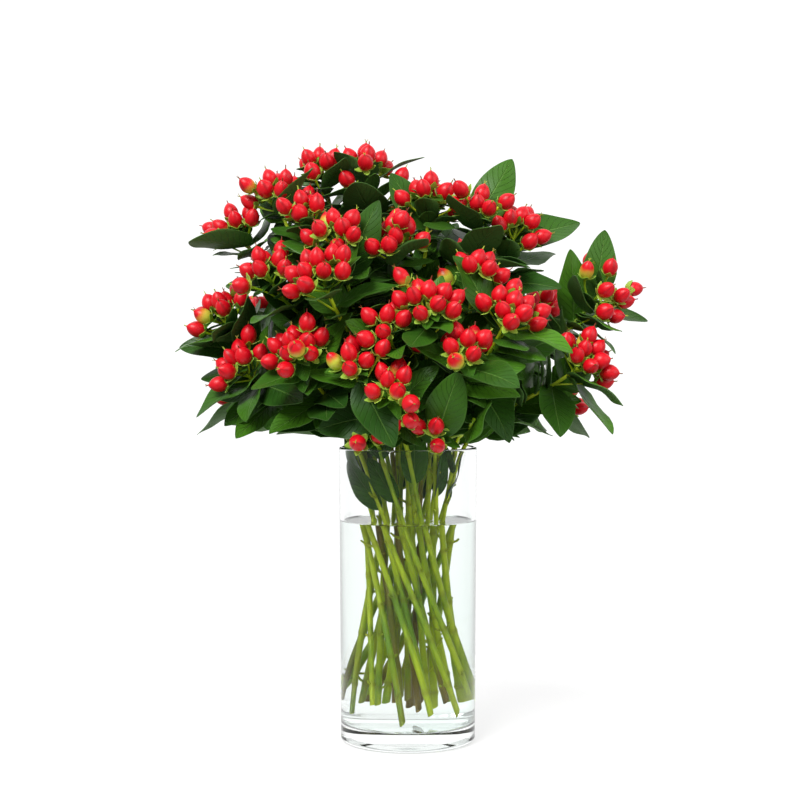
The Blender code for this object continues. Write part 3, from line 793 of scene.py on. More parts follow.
class HypericumColours(bpy.types.PropertyGroup):
    """Colours of the finishes."""

    glass: colour_property("Glass", "Tint of the glass", (0.955, 0.985, 0.975))
    water: colour_property("Water", "Tint of the water", (0.93, 0.97, 0.955))
    leaf_dark: colour_property("Dark leaf", "Old leaves", (0.009, 0.040, 0.006))
    leaf_light: colour_property("Light leaf", "Young leaves", (0.062, 0.185, 0.010))
    leaf_vein: colour_property("Leaf vein", "Midrib and veins", (0.130, 0.270, 0.050))
    leaf_under: colour_property("Leaf underside", "Back of the leaves", (0.085, 0.175, 0.045))
    # The deep red is partly the berry's own darker tone in random patches and partly painted shade
    # in its furrows. The bright red is its own red everywhere else.
    berry_deep_and_furrow_shade: colour_property("Deep red", "Shaded side of a ripe berry", (0.330, 0.001, 0.006))
    berry_bright: colour_property("Bright red", "Lit side of a ripe berry", (0.600, 0.002, 0.010))
    berry_blush: colour_property("Blush", "Base of a berry", (0.800, 0.060, 0.050))
    berry_turning: colour_property("Turning", "A berry that turns red", (0.830, 0.330, 0.060))
    berry_green: colour_property("Unripe", "An unripe berry", (0.480, 0.560, 0.050))
    calyx_light: colour_property("Light sepal", "Middle of a sepal", (0.500, 0.640, 0.080))
    thread: colour_property("Dry thread", "Threads at the tip of a berry", (0.200, 0.040, 0.015))
    calyx_dark: colour_property("Dark sepal", "Tip of a sepal", (0.270, 0.450, 0.045))
    bark_green: colour_property("Green bark", "Young stalks", (0.190, 0.370, 0.010))
    bark_yellow: colour_property("Yellow bark", "Bright stalks", (0.580, 0.730, 0.020))
    bark_brown: colour_property("Brown bark", "Old stalks", (0.210, 0.150, 0.018))
    wood: colour_property("Wood", "Cut ends and scars", (0.620, 0.580, 0.330))
    floor: colour_property("Floor", "The floor under the vase", (0.300, 0.300, 0.300))


class HypericumStage(bpy.types.PropertyGroup):
    """Light round the vase."""

    daylight: amount_property("Daylight", "Strength of the white surroundings", 1.12)
    front_share: amount_property("Front share", "How bright the side behind the camera is", 0.42)
    key_power: amount_property("Key power", "Strength of the main light", 3.9)
    fill_power: amount_property("Fill power", "Strength of the second light", 1.3)
    lens: amount_property("Lens", "Focal length of the camera", 80.2)


class Flow:
    """A socket, on which sums and products add the nodes that work them out."""

    def __init__(self, recipe, socket):
        self.recipe = recipe
        self.socket = socket

    def sum_of(self, operation, *values):
        return self.recipe.node("ShaderNodeMath", {"operation": operation},
                                dict(enumerate(values)))

    def __add__(self, other):
        return self.sum_of("ADD", self, other)

    def __sub__(self, other):
        return self.sum_of("SUBTRACT", self, other)

    def __rsub__(self, other):
        return self.sum_of("SUBTRACT", other, self)

    def __mul__(self, other):
        return self.sum_of("MULTIPLY", self, other)

    def __abs__(self):
        return self.sum_of("ABSOLUTE", self)

    __radd__ = __add__
    __rmul__ = __mul__


class Recipe:
    """Nodes of a material or of the surroundings."""

    def __init__(self, tree):
        self.tree = tree

    def feed(self, socket, value):
        if isinstance(value, Flow):
            self.tree.links.new(value.socket, socket)
        else:
            socket.default_value = value

    def node(self, kind, settings=None, inputs=None, output=0):
        """Add a node: its settings first, then the values or links of its sockets."""
        node = self.tree.nodes.new(kind)
        for name, value in (settings or {}).items():
            setattr(node, name, value)
        for name, value in (inputs or {}).items():
            self.feed(node.inputs[name], value)
        return Flow(self, node.outputs[output])

    def value_of(self, name):
        """A value that the points of the mesh hold."""
        return self.node("ShaderNodeAttribute", {"attribute_name": name}, output="Fac")

    def noise(self, scale, detail=3.0, stretch=(1.0, 1.0, 1.0)):
        place = self.node("ShaderNodeTexCoord", output="Object")
        sized = self.node("ShaderNodeMapping", {}, {"Vector": place, "Scale": stretch})
        return self.node("ShaderNodeTexNoise", {}, {"Vector": sized, "Scale": scale,
                                                    "Detail": detail})

    def fraction(self, value):
        return self.node("ShaderNodeMath", {"operation": "FRACT"}, {0: value})

    def step(self, value, low, high, first=0.0, last=1.0):
        """first below low, last above high and smooth between; low may be the higher one."""
        if low > high:
            low, high, first, last = high, low, last, first
        limits = {"Value": value, "From Min": low, "From Max": high, "To Min": first,
                  "To Max": last}
        return self.node("ShaderNodeMapRange", {"interpolation_type": "SMOOTHSTEP"}, limits)

    def blend(self, share, first, second):
        """From the first colour to the second by a share."""
        return self.node("ShaderNodeMix", {"data_type": "RGBA"}, {0: share, 6: first, 7: second}, 2)


class Finish(Recipe):
    """A material in the making, round one surface shader."""

    def __init__(self, name, **constants):
        self.material = bpy.data.materials.new(name)
        self.material.use_nodes = True
        super().__init__(self.material.node_tree)
        self.shader = self.tree.nodes["Principled BSDF"]
        for socket, value in constants.items():
            self.surface(socket.replace("_", " "), value)

    def surface(self, socket, value):
        self.feed(self.shader.inputs[socket], value)

    def relief(self, height, depth):
        bump = self.node("ShaderNodeBump", {}, {"Height": height, "Distance": depth})
        self.surface("Normal", bump)


FAINT_SHINE = (0.25, 0.25, 0.25, 1.0)


def colours():
    return bpy.context.scene.hypericum_colours


def sizes():
    return bpy.context.scene.hypericum_sizes


def glass_finish():
    finish = Finish("clear_glass", Roughness=0.0, IOR=1.5, Transmission_Weight=1.0,
                    Specular_Tint=FAINT_SHINE)
    streaks = finish.noise(16.0, 2.0, (1.0, 1.0, 0.35))
    clear = (0.985, 0.995, 0.99, 1.0)
    share = finish.step(streaks, 0.42, 0.66)
    finish.surface("Base Color", finish.blend(share, clear, colours().glass))
    finish.relief(finish.noise(9.0, 1.0), 0.0004)
    return finish.material


def water_finish():
    finish = Finish("still_water", Roughness=0.0, IOR=1.333, Transmission_Weight=1.0,
                    Specular_Tint=FAINT_SHINE)
    cloud = finish.noise(22.0, 2.0)
    clear = (0.97, 0.99, 0.98, 1.0)
    finish.surface("Base Color", finish.blend(cloud, clear, colours().water))
    return finish.material


def leaf_finish():
    finish = Finish("leaf_green", IOR=1.4, Specular_IOR_Level=0.22)
    across = finish.value_of("across")
    along = finish.value_of("along")
    fresh = finish.value_of("fresh")
    under = finish.value_of("under")
    offside = abs(across)
    mottle = finish.noise(70.0, 4.0)
    clouds = finish.noise(24.0, 2.0)
    rib = finish.step(offside, 0.06, 0.015)
    sweep = along * 10.0 - offside * 2.6
    spot = abs(finish.fraction(sweep + 8.0) - 0.5)
    veins = finish.step(spot, 0.075, 0.0) * finish.step(offside, 1.0, 0.75)
    edge = finish.step(offside, 0.90, 1.0)
    green = finish.blend(fresh * 0.7 + mottle * 0.25 + clouds * 0.5 - 0.2, colours().leaf_dark,
                         colours().leaf_light)
    lined = finish.blend(rib * 0.5 + veins * 0.15 + edge * 0.12, green, colours().leaf_vein)
    finish.surface("Base Color", finish.blend(under * 0.65, lined, colours().leaf_under))
    finish.surface("Roughness", mottle * 0.16 + under * 0.18 + 0.30)
    finish.relief(mottle * 0.5 + clouds - rib * 0.8 - veins * 0.55, 0.0008)
    return finish.material


def berry_finish():
    finish = Finish("berry_skin", IOR=1.45, Specular_IOR_Level=0.3, Coat_Weight=0.1,
                    Coat_Roughness=0.3)
    along = finish.value_of("along")
    unripe = finish.value_of("unripe")
    crease = finish.value_of("crease")
    cloud = finish.noise(150.0, 3.0)
    grain = finish.noise(900.0, 2.0)
    # Painted shade: the deep red fills the furrows, and it also gives the skin random darker
    # patches.
    red = finish.blend(finish.step(cloud * 0.5 + crease * 0.6, 0.62, 0.22),
                       colours().berry_deep_and_furrow_shade, colours().berry_bright)
    blushed = finish.blend(finish.step(along, 0.30, 0.02) * 0.6, red, colours().berry_blush)
    pale = finish.blend(finish.step(unripe, 0.5, 0.95), colours().berry_turning,
                        colours().berry_green)
    share = unripe * 1.5 - along * 0.95 + cloud * 0.3
    patch = finish.step(share, 0.55, 0.95) * finish.step(unripe, 0.02, 0.25)
    finish.surface("Base Color", finish.blend(patch, blushed, pale))
    finish.surface("Roughness", grain * 0.1 + cloud * 0.12 + 0.27)
    finish.relief(grain * 0.15 + cloud * 0.5, 0.0002)
    return finish.material


def calyx_finish():
    finish = Finish("calyx_green", Roughness=0.45, Specular_IOR_Level=0.4)
    along = finish.value_of("along")
    across = finish.value_of("across")
    dry = finish.value_of("dry")
    cloud = finish.noise(220.0, 3.0)
    line = abs(finish.fraction(across * 2.5 + 4.5) - 0.5)
    lines = finish.step(line, 0.14, 0.0)
    body = finish.blend(finish.step(along + cloud * 0.5, 0.35, 1.15), colours().calyx_light,
                        colours().calyx_dark)
    veined = finish.blend(lines * 0.3, body, colours().calyx_dark)
    finish.surface("Base Color", finish.blend(dry, veined, colours().thread))
    finish.relief(cloud * 0.5 - lines * 0.4, 0.0002)
    return finish.material


def bark_finish():
    finish = Finish("stalk_bark", Specular_IOR_Level=0.45)
    tone = finish.value_of("tone")
    scar = finish.value_of("scar")
    cut = finish.value_of("cut")
    streaks = finish.noise(260.0, 4.0, (1.0, 1.0, 0.10))
    clouds = finish.noise(28.0, 3.0, (1.0, 1.0, 0.5))
    green = finish.blend(finish.step(clouds + streaks * 0.3, 0.46, 0.76), colours().bark_green,
                         colours().bark_yellow)
    aged = finish.blend(finish.step(tone + clouds * 0.45 + streaks * 0.35, 0.62, 1.0), green,
                        colours().bark_brown)
    scarred = finish.blend(scar * 0.4, aged, colours().bark_brown)
    finish.surface("Base Color", finish.blend(cut, scarred, colours().wood))
    finish.surface("Roughness", streaks * 0.2 + scar * 0.2 + 0.32)
    finish.relief(streaks * 0.6 + clouds * 0.3, 0.0004)
    return finish.material


FLOOR_REACH = 0.36
FLOOR_GLOW = 0.66
FLOOR_SOLID_SHARE = 0.55


def floor_finish():
    finish = Finish("studio_floor", Roughness=0.7, Specular_IOR_Level=0.1,
                    Emission_Color=(1.0, 1.0, 1.0, 1.0), Emission_Strength=FLOOR_GLOW)
    finish.surface("Base Color", colours().floor)
    place = finish.node("ShaderNodeTexCoord", output="Object")
    reach = finish.node("ShaderNodeVectorMath", {"operation": "LENGTH"}, {0: place}, "Value")
    solid_reach = FLOOR_REACH * FLOOR_SOLID_SHARE
    finish.surface("Alpha", finish.step(reach, FLOOR_REACH, solid_reach))
    return finish.material


FINISHES = {"glass": glass_finish, "water": water_finish, "foliage": leaf_finish,
            "berry": berry_finish, "calyx": calyx_finish, "stem_bark": bark_finish}


@functools.cache
def finish_for(slot):
    return FINISHES[slot]()


class Mould:
    """Points and faces of a mesh in the making, with named values for the points."""

    def __init__(self, *names):
        self.points = []
        self.faces = []
        self.values = {name: [] for name in names}

    def add(self, points, faces, **values):
        """Add a closed form; each value is one number or a list with one for every point."""
        start = len(self.points)
        self.points += points
        self.faces += [tuple(start + corner for corner in face) for face in faces]
        for name, held in self.values.items():
            value = values.get(name, 0.0)
            held += value if isinstance(value, list) else [value] * len(points)

    def make(self, growth, kind, slot):
        """The mesh of one kind of piece of a stem."""
        name = f"{growth.name}_{kind}"
        mesh = bpy.data.meshes.new(name)
        mesh.from_pydata(self.points, [], self.faces)
        for value, held in self.values.items():
            mesh.attributes.new(value, "FLOAT", "POINT").data.foreach_set("value", held)
        face_outward(mesh)
        finished(name, mesh, slot, growth.name)


def finished(name, mesh, slot, node):
    """A piece of the vase or the bunch, in its finish and in place of its solid."""
    mesh.shade_smooth()
    mesh.set_sharp_from_angle(angle=SHARP_ANGLE)
    mesh.materials.append(finish_for(slot))
    piece = add_object(name, mesh)
    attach(piece, "root")
    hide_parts(node)


def along_path(path):
    """The places of a path, each with its way and two directions square to it."""
    ways = [(after - before).normalized() for before, after in zip(path, path[1:])]
    ways = [ways[0]] + [(a + b).normalized() for a, b in zip(ways, ways[1:])] + [ways[-1]]
    side = ways[0].orthogonal().normalized()
    frames = []
    for place, way in zip(path, ways):
        side = (side - way * side.dot(way)).normalized()
        frames.append((place, way, side, way.cross(side)))
    return frames


def tube(path, radii, sides):
    """A closed tube along a path."""
    points = []
    for (place, _way, *across), radius in zip(along_path(path), radii):
        for index in range(sides):
            points.append(place + spoke_at(across, math.tau * index / sides) * radius)
    return points + [path[0], path[-1]], tube_faces(len(path), sides)


def tube_faces(rings, sides):
    """Faces of a tube whose rings come first, then the middles of its two ends."""
    faces = []
    for ring in range(rings - 1):
        for index in range(sides):
            a = ring * sides + index
            b = ring * sides + (index + 1) % sides
            faces.append((a, b, b + sides, a + sides))
    for middle, start in ((rings * sides, 0), (rings * sides + 1, (rings - 1) * sides)):
        for index in range(sides):
            faces.append((middle, start + index, start + (index + 1) % sides))
    return faces


def spaced(path, spacing):
    """A path with its points moved to an even spacing."""
    total = path_length(path)
    count = max(2, round(total / spacing))
    return [point_back(path, total * (1 - step / count))[0] for step in range(count + 1)]


def anchor_for(growth, place):
    """The point of a stem's smooth paths that is nearest to a place."""
    points = []
    for path in fine_paths(growth):
        for before, after in zip(path, path[1:]):
            step = after - before
            share = min(1.0, max(0.0, (place - before).dot(step) / step.length_squared))
            points.append(before + step * share)
    return min(points, key=lambda point: (place - point).length)


def leaf_outline(along):
    """Half the width of a leaf at a share of its length, as a share of its widest half."""
    return max(0.02, math.sin(math.pi * along ** 0.78) ** 0.68)


def sepal_outline(along):
    """Half the width of a rounded sepal at a share of its length."""
    return max(0.12, math.sin(math.pi * (0.16 + 0.82 * along)) ** 0.7)


def blade(shape, rows, columns, fold, ripple, phase):
    """A thin closed blade with its rib folded in; gives points, faces and their values."""
    root, direction, face, length, width, arch, twist = shape
    thickness = sizes().leaf_thickness
    side = direction.cross(face).normalized()
    up = side.cross(direction).normalized()
    points, along_values, across_values, under_values = [], [], [], []
    for layer in (0.5, -0.5):
        for row in range(rows + 1):
            along = math.sin(row / rows * math.pi / 2)
            half = width / 2 * leaf_outline(along)
            turn = twist * (along - TWIST_CENTRE)
            out = spoke_at((side, up), turn)
            lift = up * math.cos(turn) - side * math.sin(turn)
            sway = math.sin(along * 6 + phase * 3) * along * 0.22 * ripple
            spine = root + (direction * along - up * (arch * along * along + sway)) * length
            for share in columns:
                wave = math.sin(along * 9 + phase + (1.3 if share > 0 else 0)) * ripple * share**2
                rise = fold * half * (abs(share) ** 1.5) + wave * half
                points.append(spine + out * half * share + lift * (rise + thickness * layer))
                along_values.append(along)
                across_values.append(share)
                under_values.append(0.0 if layer > 0 else 1.0)
    return points, blade_faces(rows, len(columns)), along_values, across_values, under_values


@functools.cache
def blade_faces(rows, width):
    """Faces of a blade's two layers and its rim."""
    layer = (rows + 1) * width
    faces = []
    for row in range(rows):
        for column in range(width - 1):
            a = row * width + column
            top = (a, a + 1, a + width + 1, a + width)
            faces.append(top)
            faces.append(tuple(layer + corner for corner in reversed(top)))
    rim = list(range(width))
    rim += [row * width + width - 1 for row in range(1, rows + 1)]
    rim += [rows * width + column for column in range(width - 2, -1, -1)]
    rim += [row * width for row in range(rows - 1, 0, -1)]
    for a, b in zip(rim, rim[1:] + rim[:1]):
        faces.append((b, a, layer + a, layer + b))
    return faces


LEAF_COLUMNS = (-1.0, -0.82, -0.45, -0.13, 0.0, 0.13, 0.45, 0.82, 1.0)
LEAF_STEPS = 18
BRACT_COLUMNS = (-1.0, -0.6, 0.0, 0.6, 1.0)
BRACT_STEPS = 9
SEPAL_COLUMNS = (-1.0, -0.35, 0.35, 1.0)
SEPAL_STEPS = 4
SEPALS = 5
STYLES = 3
BRACTS_ON_SPRAY = 6
BRACT_TRIES = 10
CURVE_STEPS = 24
STALK_SIDES = 10
STALK_RING_SPACING = 2.4 * MM
BERRY_RINGS = 11
BERRY_SIDES = 16
UNRIPE_SHARES = (0.03, 0.26)
LATE_PLACE = Vector((0.0, -110.0, 290.0)) * MM
LATE_REACH = 75 * MM
SMALL_PLAY = 0.15 * MM
FURTHER_LEAF_LENGTHS = (54 * MM, 42 * MM, 30 * MM)
FURTHER_LEAF_TRIES = 9
FULLNESS = 1.12
FURTHER_TRIES = 40
SLENDERNESS = 0.74
AGED_LENGTH = 110 * MM


# Numbers of the jobs that have random draws of their own; the further leaves take one more
# number for each of their lengths.
STALK_JOB, LEAF_JOB, BERRY_JOB, FILLING_JOB, BRACT_JOB, HANGING_JOB = 1, 2, 3, 4, 5, 7
FURTHER_LEAF_JOB = 10


def hanging_axes(growth):
    """The axis of each berry: mostly the way of its stalk, each a little off."""
    draw = hand_for(growth, HANGING_JOB)
    axes = []
    for _root, _middle, way, nod in growth.berries:
        off = Vector([draw.uniform(-1, 1) for _axis in range(3)])
        axes.append((way + nod * 0.45 + off * 0.28).normalized())
    return axes


def hand_for(growth, job):
    """Random draws of one stem for one job, apart from those of the plan."""
    return random.Random(SEED * 1000 + growth.number * 10 + job)


def bent_twig(start, *curve):
    return [start] + bend(start, *curve, CURVE_STEPS // 2)


@functools.cache
def fine_paths(growth):
    """Smooth paths: the stem, straight in the bundle and curved to its spray, then its twigs."""
    stem = growth.route(*growth.shares, steps=CURVE_STEPS)
    return [stem] + [bent_twig(*curve) for curve in growth.twig_curves if curve]


TONES = (0.0, 0.0, 0.05, 0.1, 0.15, 0.2, 0.25, 0.5)
AGEING = (0.0, 0.0, 0.15, 0.3, 0.45)
JOINT_REACH = 2.0 * MM
JOINT_SWELL = 0.2


def add_stalk(mould, path, first_radius, last_radius, tone, draw, rooted):
    """A jointed stalk; one that is rooted has a slanted cut foot, an aged base and stubs."""
    spacing = sizes().joint_spacing
    path = spaced(path, STALK_RING_SPACING)
    total = path_length(path)
    joints = []
    place = spacing * draw.uniform(0.25, 0.7)
    while place < total - spacing * 0.3:
        joints.append(place)
        place += spacing * draw.uniform(0.8, 1.25)
    slant = draw.uniform(0.3, 1.1)
    ageing = draw.choice(AGEING) if rooted else 0.0
    frames = along_path(path)
    last = len(path) - 1
    points, tones, scars = [], [], []
    for step, (spot, way, *sides) in enumerate(frames):
        share = step / last
        here = total * share
        swell = sum(math.exp(-((here - joint) / JOINT_REACH) ** 2) for joint in joints)
        radius = first_radius + (last_radius - first_radius) * share
        radius *= 1 + JOINT_SWELL * swell + 0.03 * math.sin(here * 190 + tone * 9)
        tones += [tone + ageing * max(0.0, 1 - here / AGED_LENGTH)] * STALK_SIDES
        scars += [min(1.0, swell)] * STALK_SIDES
        for index in range(STALK_SIDES):
            angle = math.tau * index / STALK_SIDES
            oval = radius * (1 + 0.06 * math.cos(2 * angle))
            cut = way * (slant * oval * math.cos(angle)) if rooted and step == 0 else Vector()
            points.append(spot + spoke_at(sides, angle) * oval + cut)
    # The foot has points of its own, which alone show the cut wood.
    start = len(points)
    faces = tube_faces(len(path), STALK_SIDES)[:-2 * STALK_SIDES]
    for index in range(STALK_SIDES):
        after = (index + 1) % STALK_SIDES
        faces.append((start + STALK_SIDES, start + index, start + after))
        faces.append((start + STALK_SIDES + 1, last * STALK_SIDES + index,
                      last * STALK_SIDES + after))
    points += points[:STALK_SIDES] + [path[0], path[-1]]
    tones += [tone] * (STALK_SIDES + 2)
    scars += [0.0] * (STALK_SIDES + 2)
    cuts = [0.0] * start + [1.0] * (STALK_SIDES + 1) + [0.0]
    mould.add(points, faces, tone=tones, scar=scars, cut=cuts)
    if rooted:
        add_stubs(mould, frames, joints, total, tone, draw)


BARE_JOINTS = 0.35
STUB_LENGTHS = (1.5, 2, 2, 3, 3, 6)


def add_stubs(mould, frames, joints, total, tone, draw):
    """Short stubs of trimmed leaves and twigs, opposite at the joints of the bare stalk."""
    turn = draw.uniform(0, math.pi)
    for joint in joints:
        turn += math.pi / 2
        spot, way, *sides = frames[round(joint / total * (len(frames) - 1))]
        if spot.z > EXIT_HEIGHT:
            return
        for half in (0, math.pi):
            if draw.random() < BARE_JOINTS:
                continue
            spoke = spoke_at(sides, turn + half)
            length = draw.choice(STUB_LENGTHS) * draw.uniform(0.8, 1.2) * MM
            root = spot + spoke * 1.6 * MM
            tip = root + spoke * length + way * length * 0.9
            middle = root + spoke * length * 0.6 + way * length * 0.3
            radii = (1.0 * MM, 0.85 * MM, 0.7 * MM)
            mould.add(*tube([root, middle, tip], radii, 6), tone=tone, scar=0.7)


def build_stalk(growth):
    """The stem and its twigs with the thin stalks of the berries, as one piece."""
    draw = hand_for(growth, STALK_JOB)
    mould = Mould("tone", "scar", "cut")
    tone = draw.choice(TONES)
    foot = STEM_FOOT_RADIUS * growth.stoutness * SLENDERNESS
    stem, *twigs = fine_paths(growth)
    add_stalk(mould, stem, foot, STEM_TOP_RADIUS, tone, draw, True)
    for twig in twigs:
        add_stalk(mould, twig, TWIG_RADIUS * 1.2, TWIG_RADIUS, tone * 0.6, draw, False)
    for (root, middle, *_ways), axis in zip(growth.berries, hanging_axes(growth)):
        add_berry_stalk(mould, anchor_for(growth, root), middle, axis, tone)
    mould.make(growth, "stalk", "stem_bark")


BERRY_STALK_TAPER = (1.15, 0.95, 0.85, 0.8, 0.8, 0.85, 1.1, 1.8)


def add_berry_stalk(mould, anchor, middle, axis, tone):
    """A thin stalk that bends up into a berry and widens under it."""
    foot = middle - axis * (BERRY_LENGTH / 2 - 0.4 * MM)
    start_way = (foot - anchor).normalized()
    path = [anchor] + bend(anchor, start_way, foot, axis, 0.3, 0.4, len(BERRY_STALK_TAPER) - 1)
    radii = [STALK_RADIUS * share for share in BERRY_STALK_TAPER]
    mould.add(*tube(path, radii, 6), tone=tone * 0.3)


# How wide a leaf is that starts inside the vase, as a share of its planned width.
MOUTH_LEAF_SHARE = 0.7
FOLDS = (-0.12, 0.06, 0.12, 0.2, 0.3)
LEAF_STALK_RADII = (1.1 * MM, 0.8 * MM, 0.45 * MM)
FRESHNESS = (0.05, 0.12, 0.22, 0.35, 0.5, 0.8)


def add_leaf(mould, growth, shape, draw, columns, steps, fresh):
    """A leaf and its short stalk, which starts on the nearest stem or twig."""
    root = shape[0]
    if root.z < VASE_HEIGHT:
        shape = (*shape[:4], shape[4] * MOUTH_LEAF_SHARE, *shape[5:])
    fold = draw.choice(FOLDS) * draw.uniform(0.8, 1.2)
    ripple = draw.uniform(0.05, 0.16)
    points, faces, along, across, under = blade(
        shape, steps, columns, fold, ripple, draw.uniform(0, 6))
    mould.add(points, faces, along=along, across=across, under=under, fresh=fresh)
    anchor = anchor_for(growth, root)
    neck = root + shape[1] * 3 * MM
    middle = (anchor + neck) / 2
    mould.add(*tube([anchor, middle, neck], LEAF_STALK_RADII, 6), fresh=fresh)


def inside_box(places):
    """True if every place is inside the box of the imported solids."""
    low, high = CAD_BOX
    return all(low[axis] < place[axis] < high[axis] for place in places for axis in range(3))


def grows_free(growth, shape, thicket):
    """Add a small leaf to the thicket if it has room there."""
    flat = leaf_mesh(*shape, SMALL_PLAY)
    places = [corner.co for corner in flat.vertices]
    if not inside_box(places) or any(hangs_low(place) for place in places):
        return False
    if not thicket.is_clear(growth.number, flat, ("berry", "leaf")):
        return False
    thicket.add(growth.number, "leaf", leaf_mesh(*shape))
    return True


def bract_shapes(growth, thicket, draw):
    """Small leaves among the berries of every spray, where they find room."""
    shapes = []
    for path, centre, _count in growth.carried_sprays():
        facing = spray_direction(centre)
        side, _other = square_to(facing)
        turn = draw.uniform(0, math.pi)
        for number in range(BRACTS_ON_SPRAY):
            turn += math.pi + (math.pi / 2 if number % 2 else 0)
            for attempt in range(BRACT_TRIES):
                root, _way = point_back(path, draw.uniform(0, 14) * MM)
                angle = turn + draw.uniform(-0.3, 0.3) * (1 + attempt)
                spread = Matrix.Rotation(angle, 3, facing) @ side
                length = sizes().bract_length * draw.uniform(0.8, 1.3) * (1 - 0.04 * attempt)
                direction = (spread + facing * draw.uniform(-0.1, 1.0)).normalized()
                face = (facing - spread * 0.5).normalized()
                width = length * draw.uniform(0.44, 0.56)
                arch = draw.uniform(0.05, 0.3)
                shape = (root, direction, face, length, width, arch, draw.uniform(-0.5, 0.5))
                if grows_free(growth, shape, thicket):
                    shapes.append(shape)
                    break
    return shapes


def further_leaves(growth, thicket, draw, full_length):
    """Opposite pairs of leaves of one size along a stem and its twigs, where they find room."""
    shapes = []
    for path in growth.leafy_paths():
        back = draw.uniform(0.2, 0.45) * full_length
        turn = draw.uniform(0, math.pi)
        while back < path_length(path):
            root, way = point_back(path, back)
            back += full_length * draw.uniform(0.22, 0.34)
            turn += math.pi / 2
            if root.z < VASE_HEIGHT:
                break
            side = way.orthogonal().normalized()
            for half in (0, math.pi):
                for attempt in range(FURTHER_LEAF_TRIES):
                    angle = turn + half + draw.uniform(-0.25, 0.25) * (1 + attempt * 0.6)
                    spread = Matrix.Rotation(angle, 3, way) @ side
                    tilt = draw.uniform(0.1, 1.1)
                    length = full_length * draw.uniform(0.85, 1.15) * (1 - 0.03 * attempt)
                    direction = (spread + way * tilt).normalized()
                    face = (way - spread * tilt).normalized()
                    width = length * draw.uniform(0.46, 0.62)
                    shape = (root, direction, face, length, width, draw.uniform(0.06, 0.25),
                             draw.uniform(-0.6, 0.6))
                    if grows_free(growth, shape, thicket):
                        shapes.append(shape)
                        break
    return shapes


SPRAY_REACH = 26 * MM
DOME_RADIUS = 25 * MM
DOME_TOP = 7 * MM
DOME_FALL = 0.35
DROOP_LIMIT = -0.3


def further_berries(growth, thicket, draw):
    """Berries that fill out each spray in a deeper dome, where they find room."""
    for path, centre, count in growth.carried_sprays():
        facing = spray_direction(centre)
        sides = square_to(facing)
        there = sum((berry[1] - centre).length < SPRAY_REACH for berry in growth.berries)
        wanted = round(count * FULLNESS) + 1 - there
        for _berry in range(max(wanted, 2)):
            for _attempt in range(FURTHER_TRIES):
                angle = draw.uniform(0, math.tau)
                out = draw.uniform(0.15, 1) ** 0.5 * DOME_RADIUS
                height = draw.uniform(-20, 5) * MM + DOME_TOP - out * DOME_FALL
                middle = centre + spoke_at(sides, angle) * out + facing * height
                root, _way = point_back(path, max(0.5 * MM, 5 * MM - height + out * 0.6))
                way = (middle - root).normalized()
                low = middle.z < LEAF_FLOOR + BERRY_LENGTH
                if low or way.dot(facing) < DROOP_LIMIT or not inside_box([middle]):
                    continue
                if try_berry(growth, root, middle, way, facing, SMALL_PLAY, thicket):
                    growth.berries.append((root, middle, way, way))
                    break


@functools.cache
def dressed_bunch():
    """The small leaves of each planned stem, which also gets its further berries here."""
    growths, thicket = planned_bunch()
    for growth in growths:
        further_berries(growth, thicket, hand_for(growth, FILLING_JOB))
    small_leaves = {}
    for growth in growths:
        small_leaves[growth] = bract_shapes(growth, thicket, hand_for(growth, BRACT_JOB))
    for job, length in enumerate(FURTHER_LEAF_LENGTHS, FURTHER_LEAF_JOB):
        for growth in growths:
            small_leaves[growth] += further_leaves(growth, thicket, hand_for(growth, job), length)
    return small_leaves


def freshness(shape, draw):
    """How light a leaf is: a tone drawn at random, with more added at random to the leaves that
    stand low at the right.
    """
    root = shape[0]
    base = draw.choice(FRESHNESS)
    low_right = 0.35 if root.x > 60 * MM and root.z < 320 * MM else 0.0
    return min(1.0, base + low_right * draw.random())


def build_leaves(growth):
    """The planned leaves and the small ones of a stem, as one piece."""
    draw = hand_for(growth, LEAF_JOB)
    mould = Mould("along", "across", "under", "fresh")
    for shape in growth.leaves:
        add_leaf(mould, growth, shape, draw, LEAF_COLUMNS, LEAF_STEPS, freshness(shape, draw))
    for shape in dressed_bunch()[growth]:
        fresh = min(1.0, 0.2 + freshness(shape, draw))
        add_leaf(mould, growth, shape, draw, BRACT_COLUMNS, BRACT_STEPS, fresh)
    mould.make(growth, "leaves", "foliage")


NUB = [(1.07, 0.11), (1.15, 0.06)]
NUB_END = 1.18


def berry_profile():
    """Heights and radii of a berry from its base to the nub at its tip, as shares."""
    profile = []
    for ring in range(1, BERRY_RINGS):
        angle = math.pi * ring / BERRY_RINGS
        height = -math.cos(angle)
        upper = max(0.0, height)
        profile.append((height + 0.05 * upper ** 3, math.sin(angle) * (1 - 0.13 * upper ** 1.5)))
    return profile + NUB


def add_berry(mould, middle, axis, girth, length, turn, unripe):
    """An oval berry with three faint furrows that run to the nub at its tip."""
    sides = square_to(axis)
    points, along, furrow_shades = [], [], []
    profile = berry_profile()
    for height, radius in profile:
        share = (height + 1) / 2
        for index in range(BERRY_SIDES):
            angle = turn + math.tau * index / BERRY_SIDES
            furrow = max(0.0, math.cos(3 * angle)) ** 6 * max(0.0, share - 0.25)
            reach = girth * radius * (1 - 0.05 * furrow + 0.012 * math.sin(2 * angle + turn))
            spot = middle + axis * (height * length / 2)
            points.append(spot + spoke_at(sides, angle) * reach)
            along.append(share)
            # Each point keeps its furrow depth, which the skin's finish uses to paint shade into
            # the furrows.
            furrow_shades.append(furrow)
    points += [middle - axis * length / 2, middle + axis * (length / 2 * NUB_END)]
    along += [0.0, 1.0]
    furrow_shades += [0.0, 0.0]
    mould.add(points, tube_faces(len(profile), BERRY_SIDES), along=along, crease=furrow_shades,
              unripe=unripe)


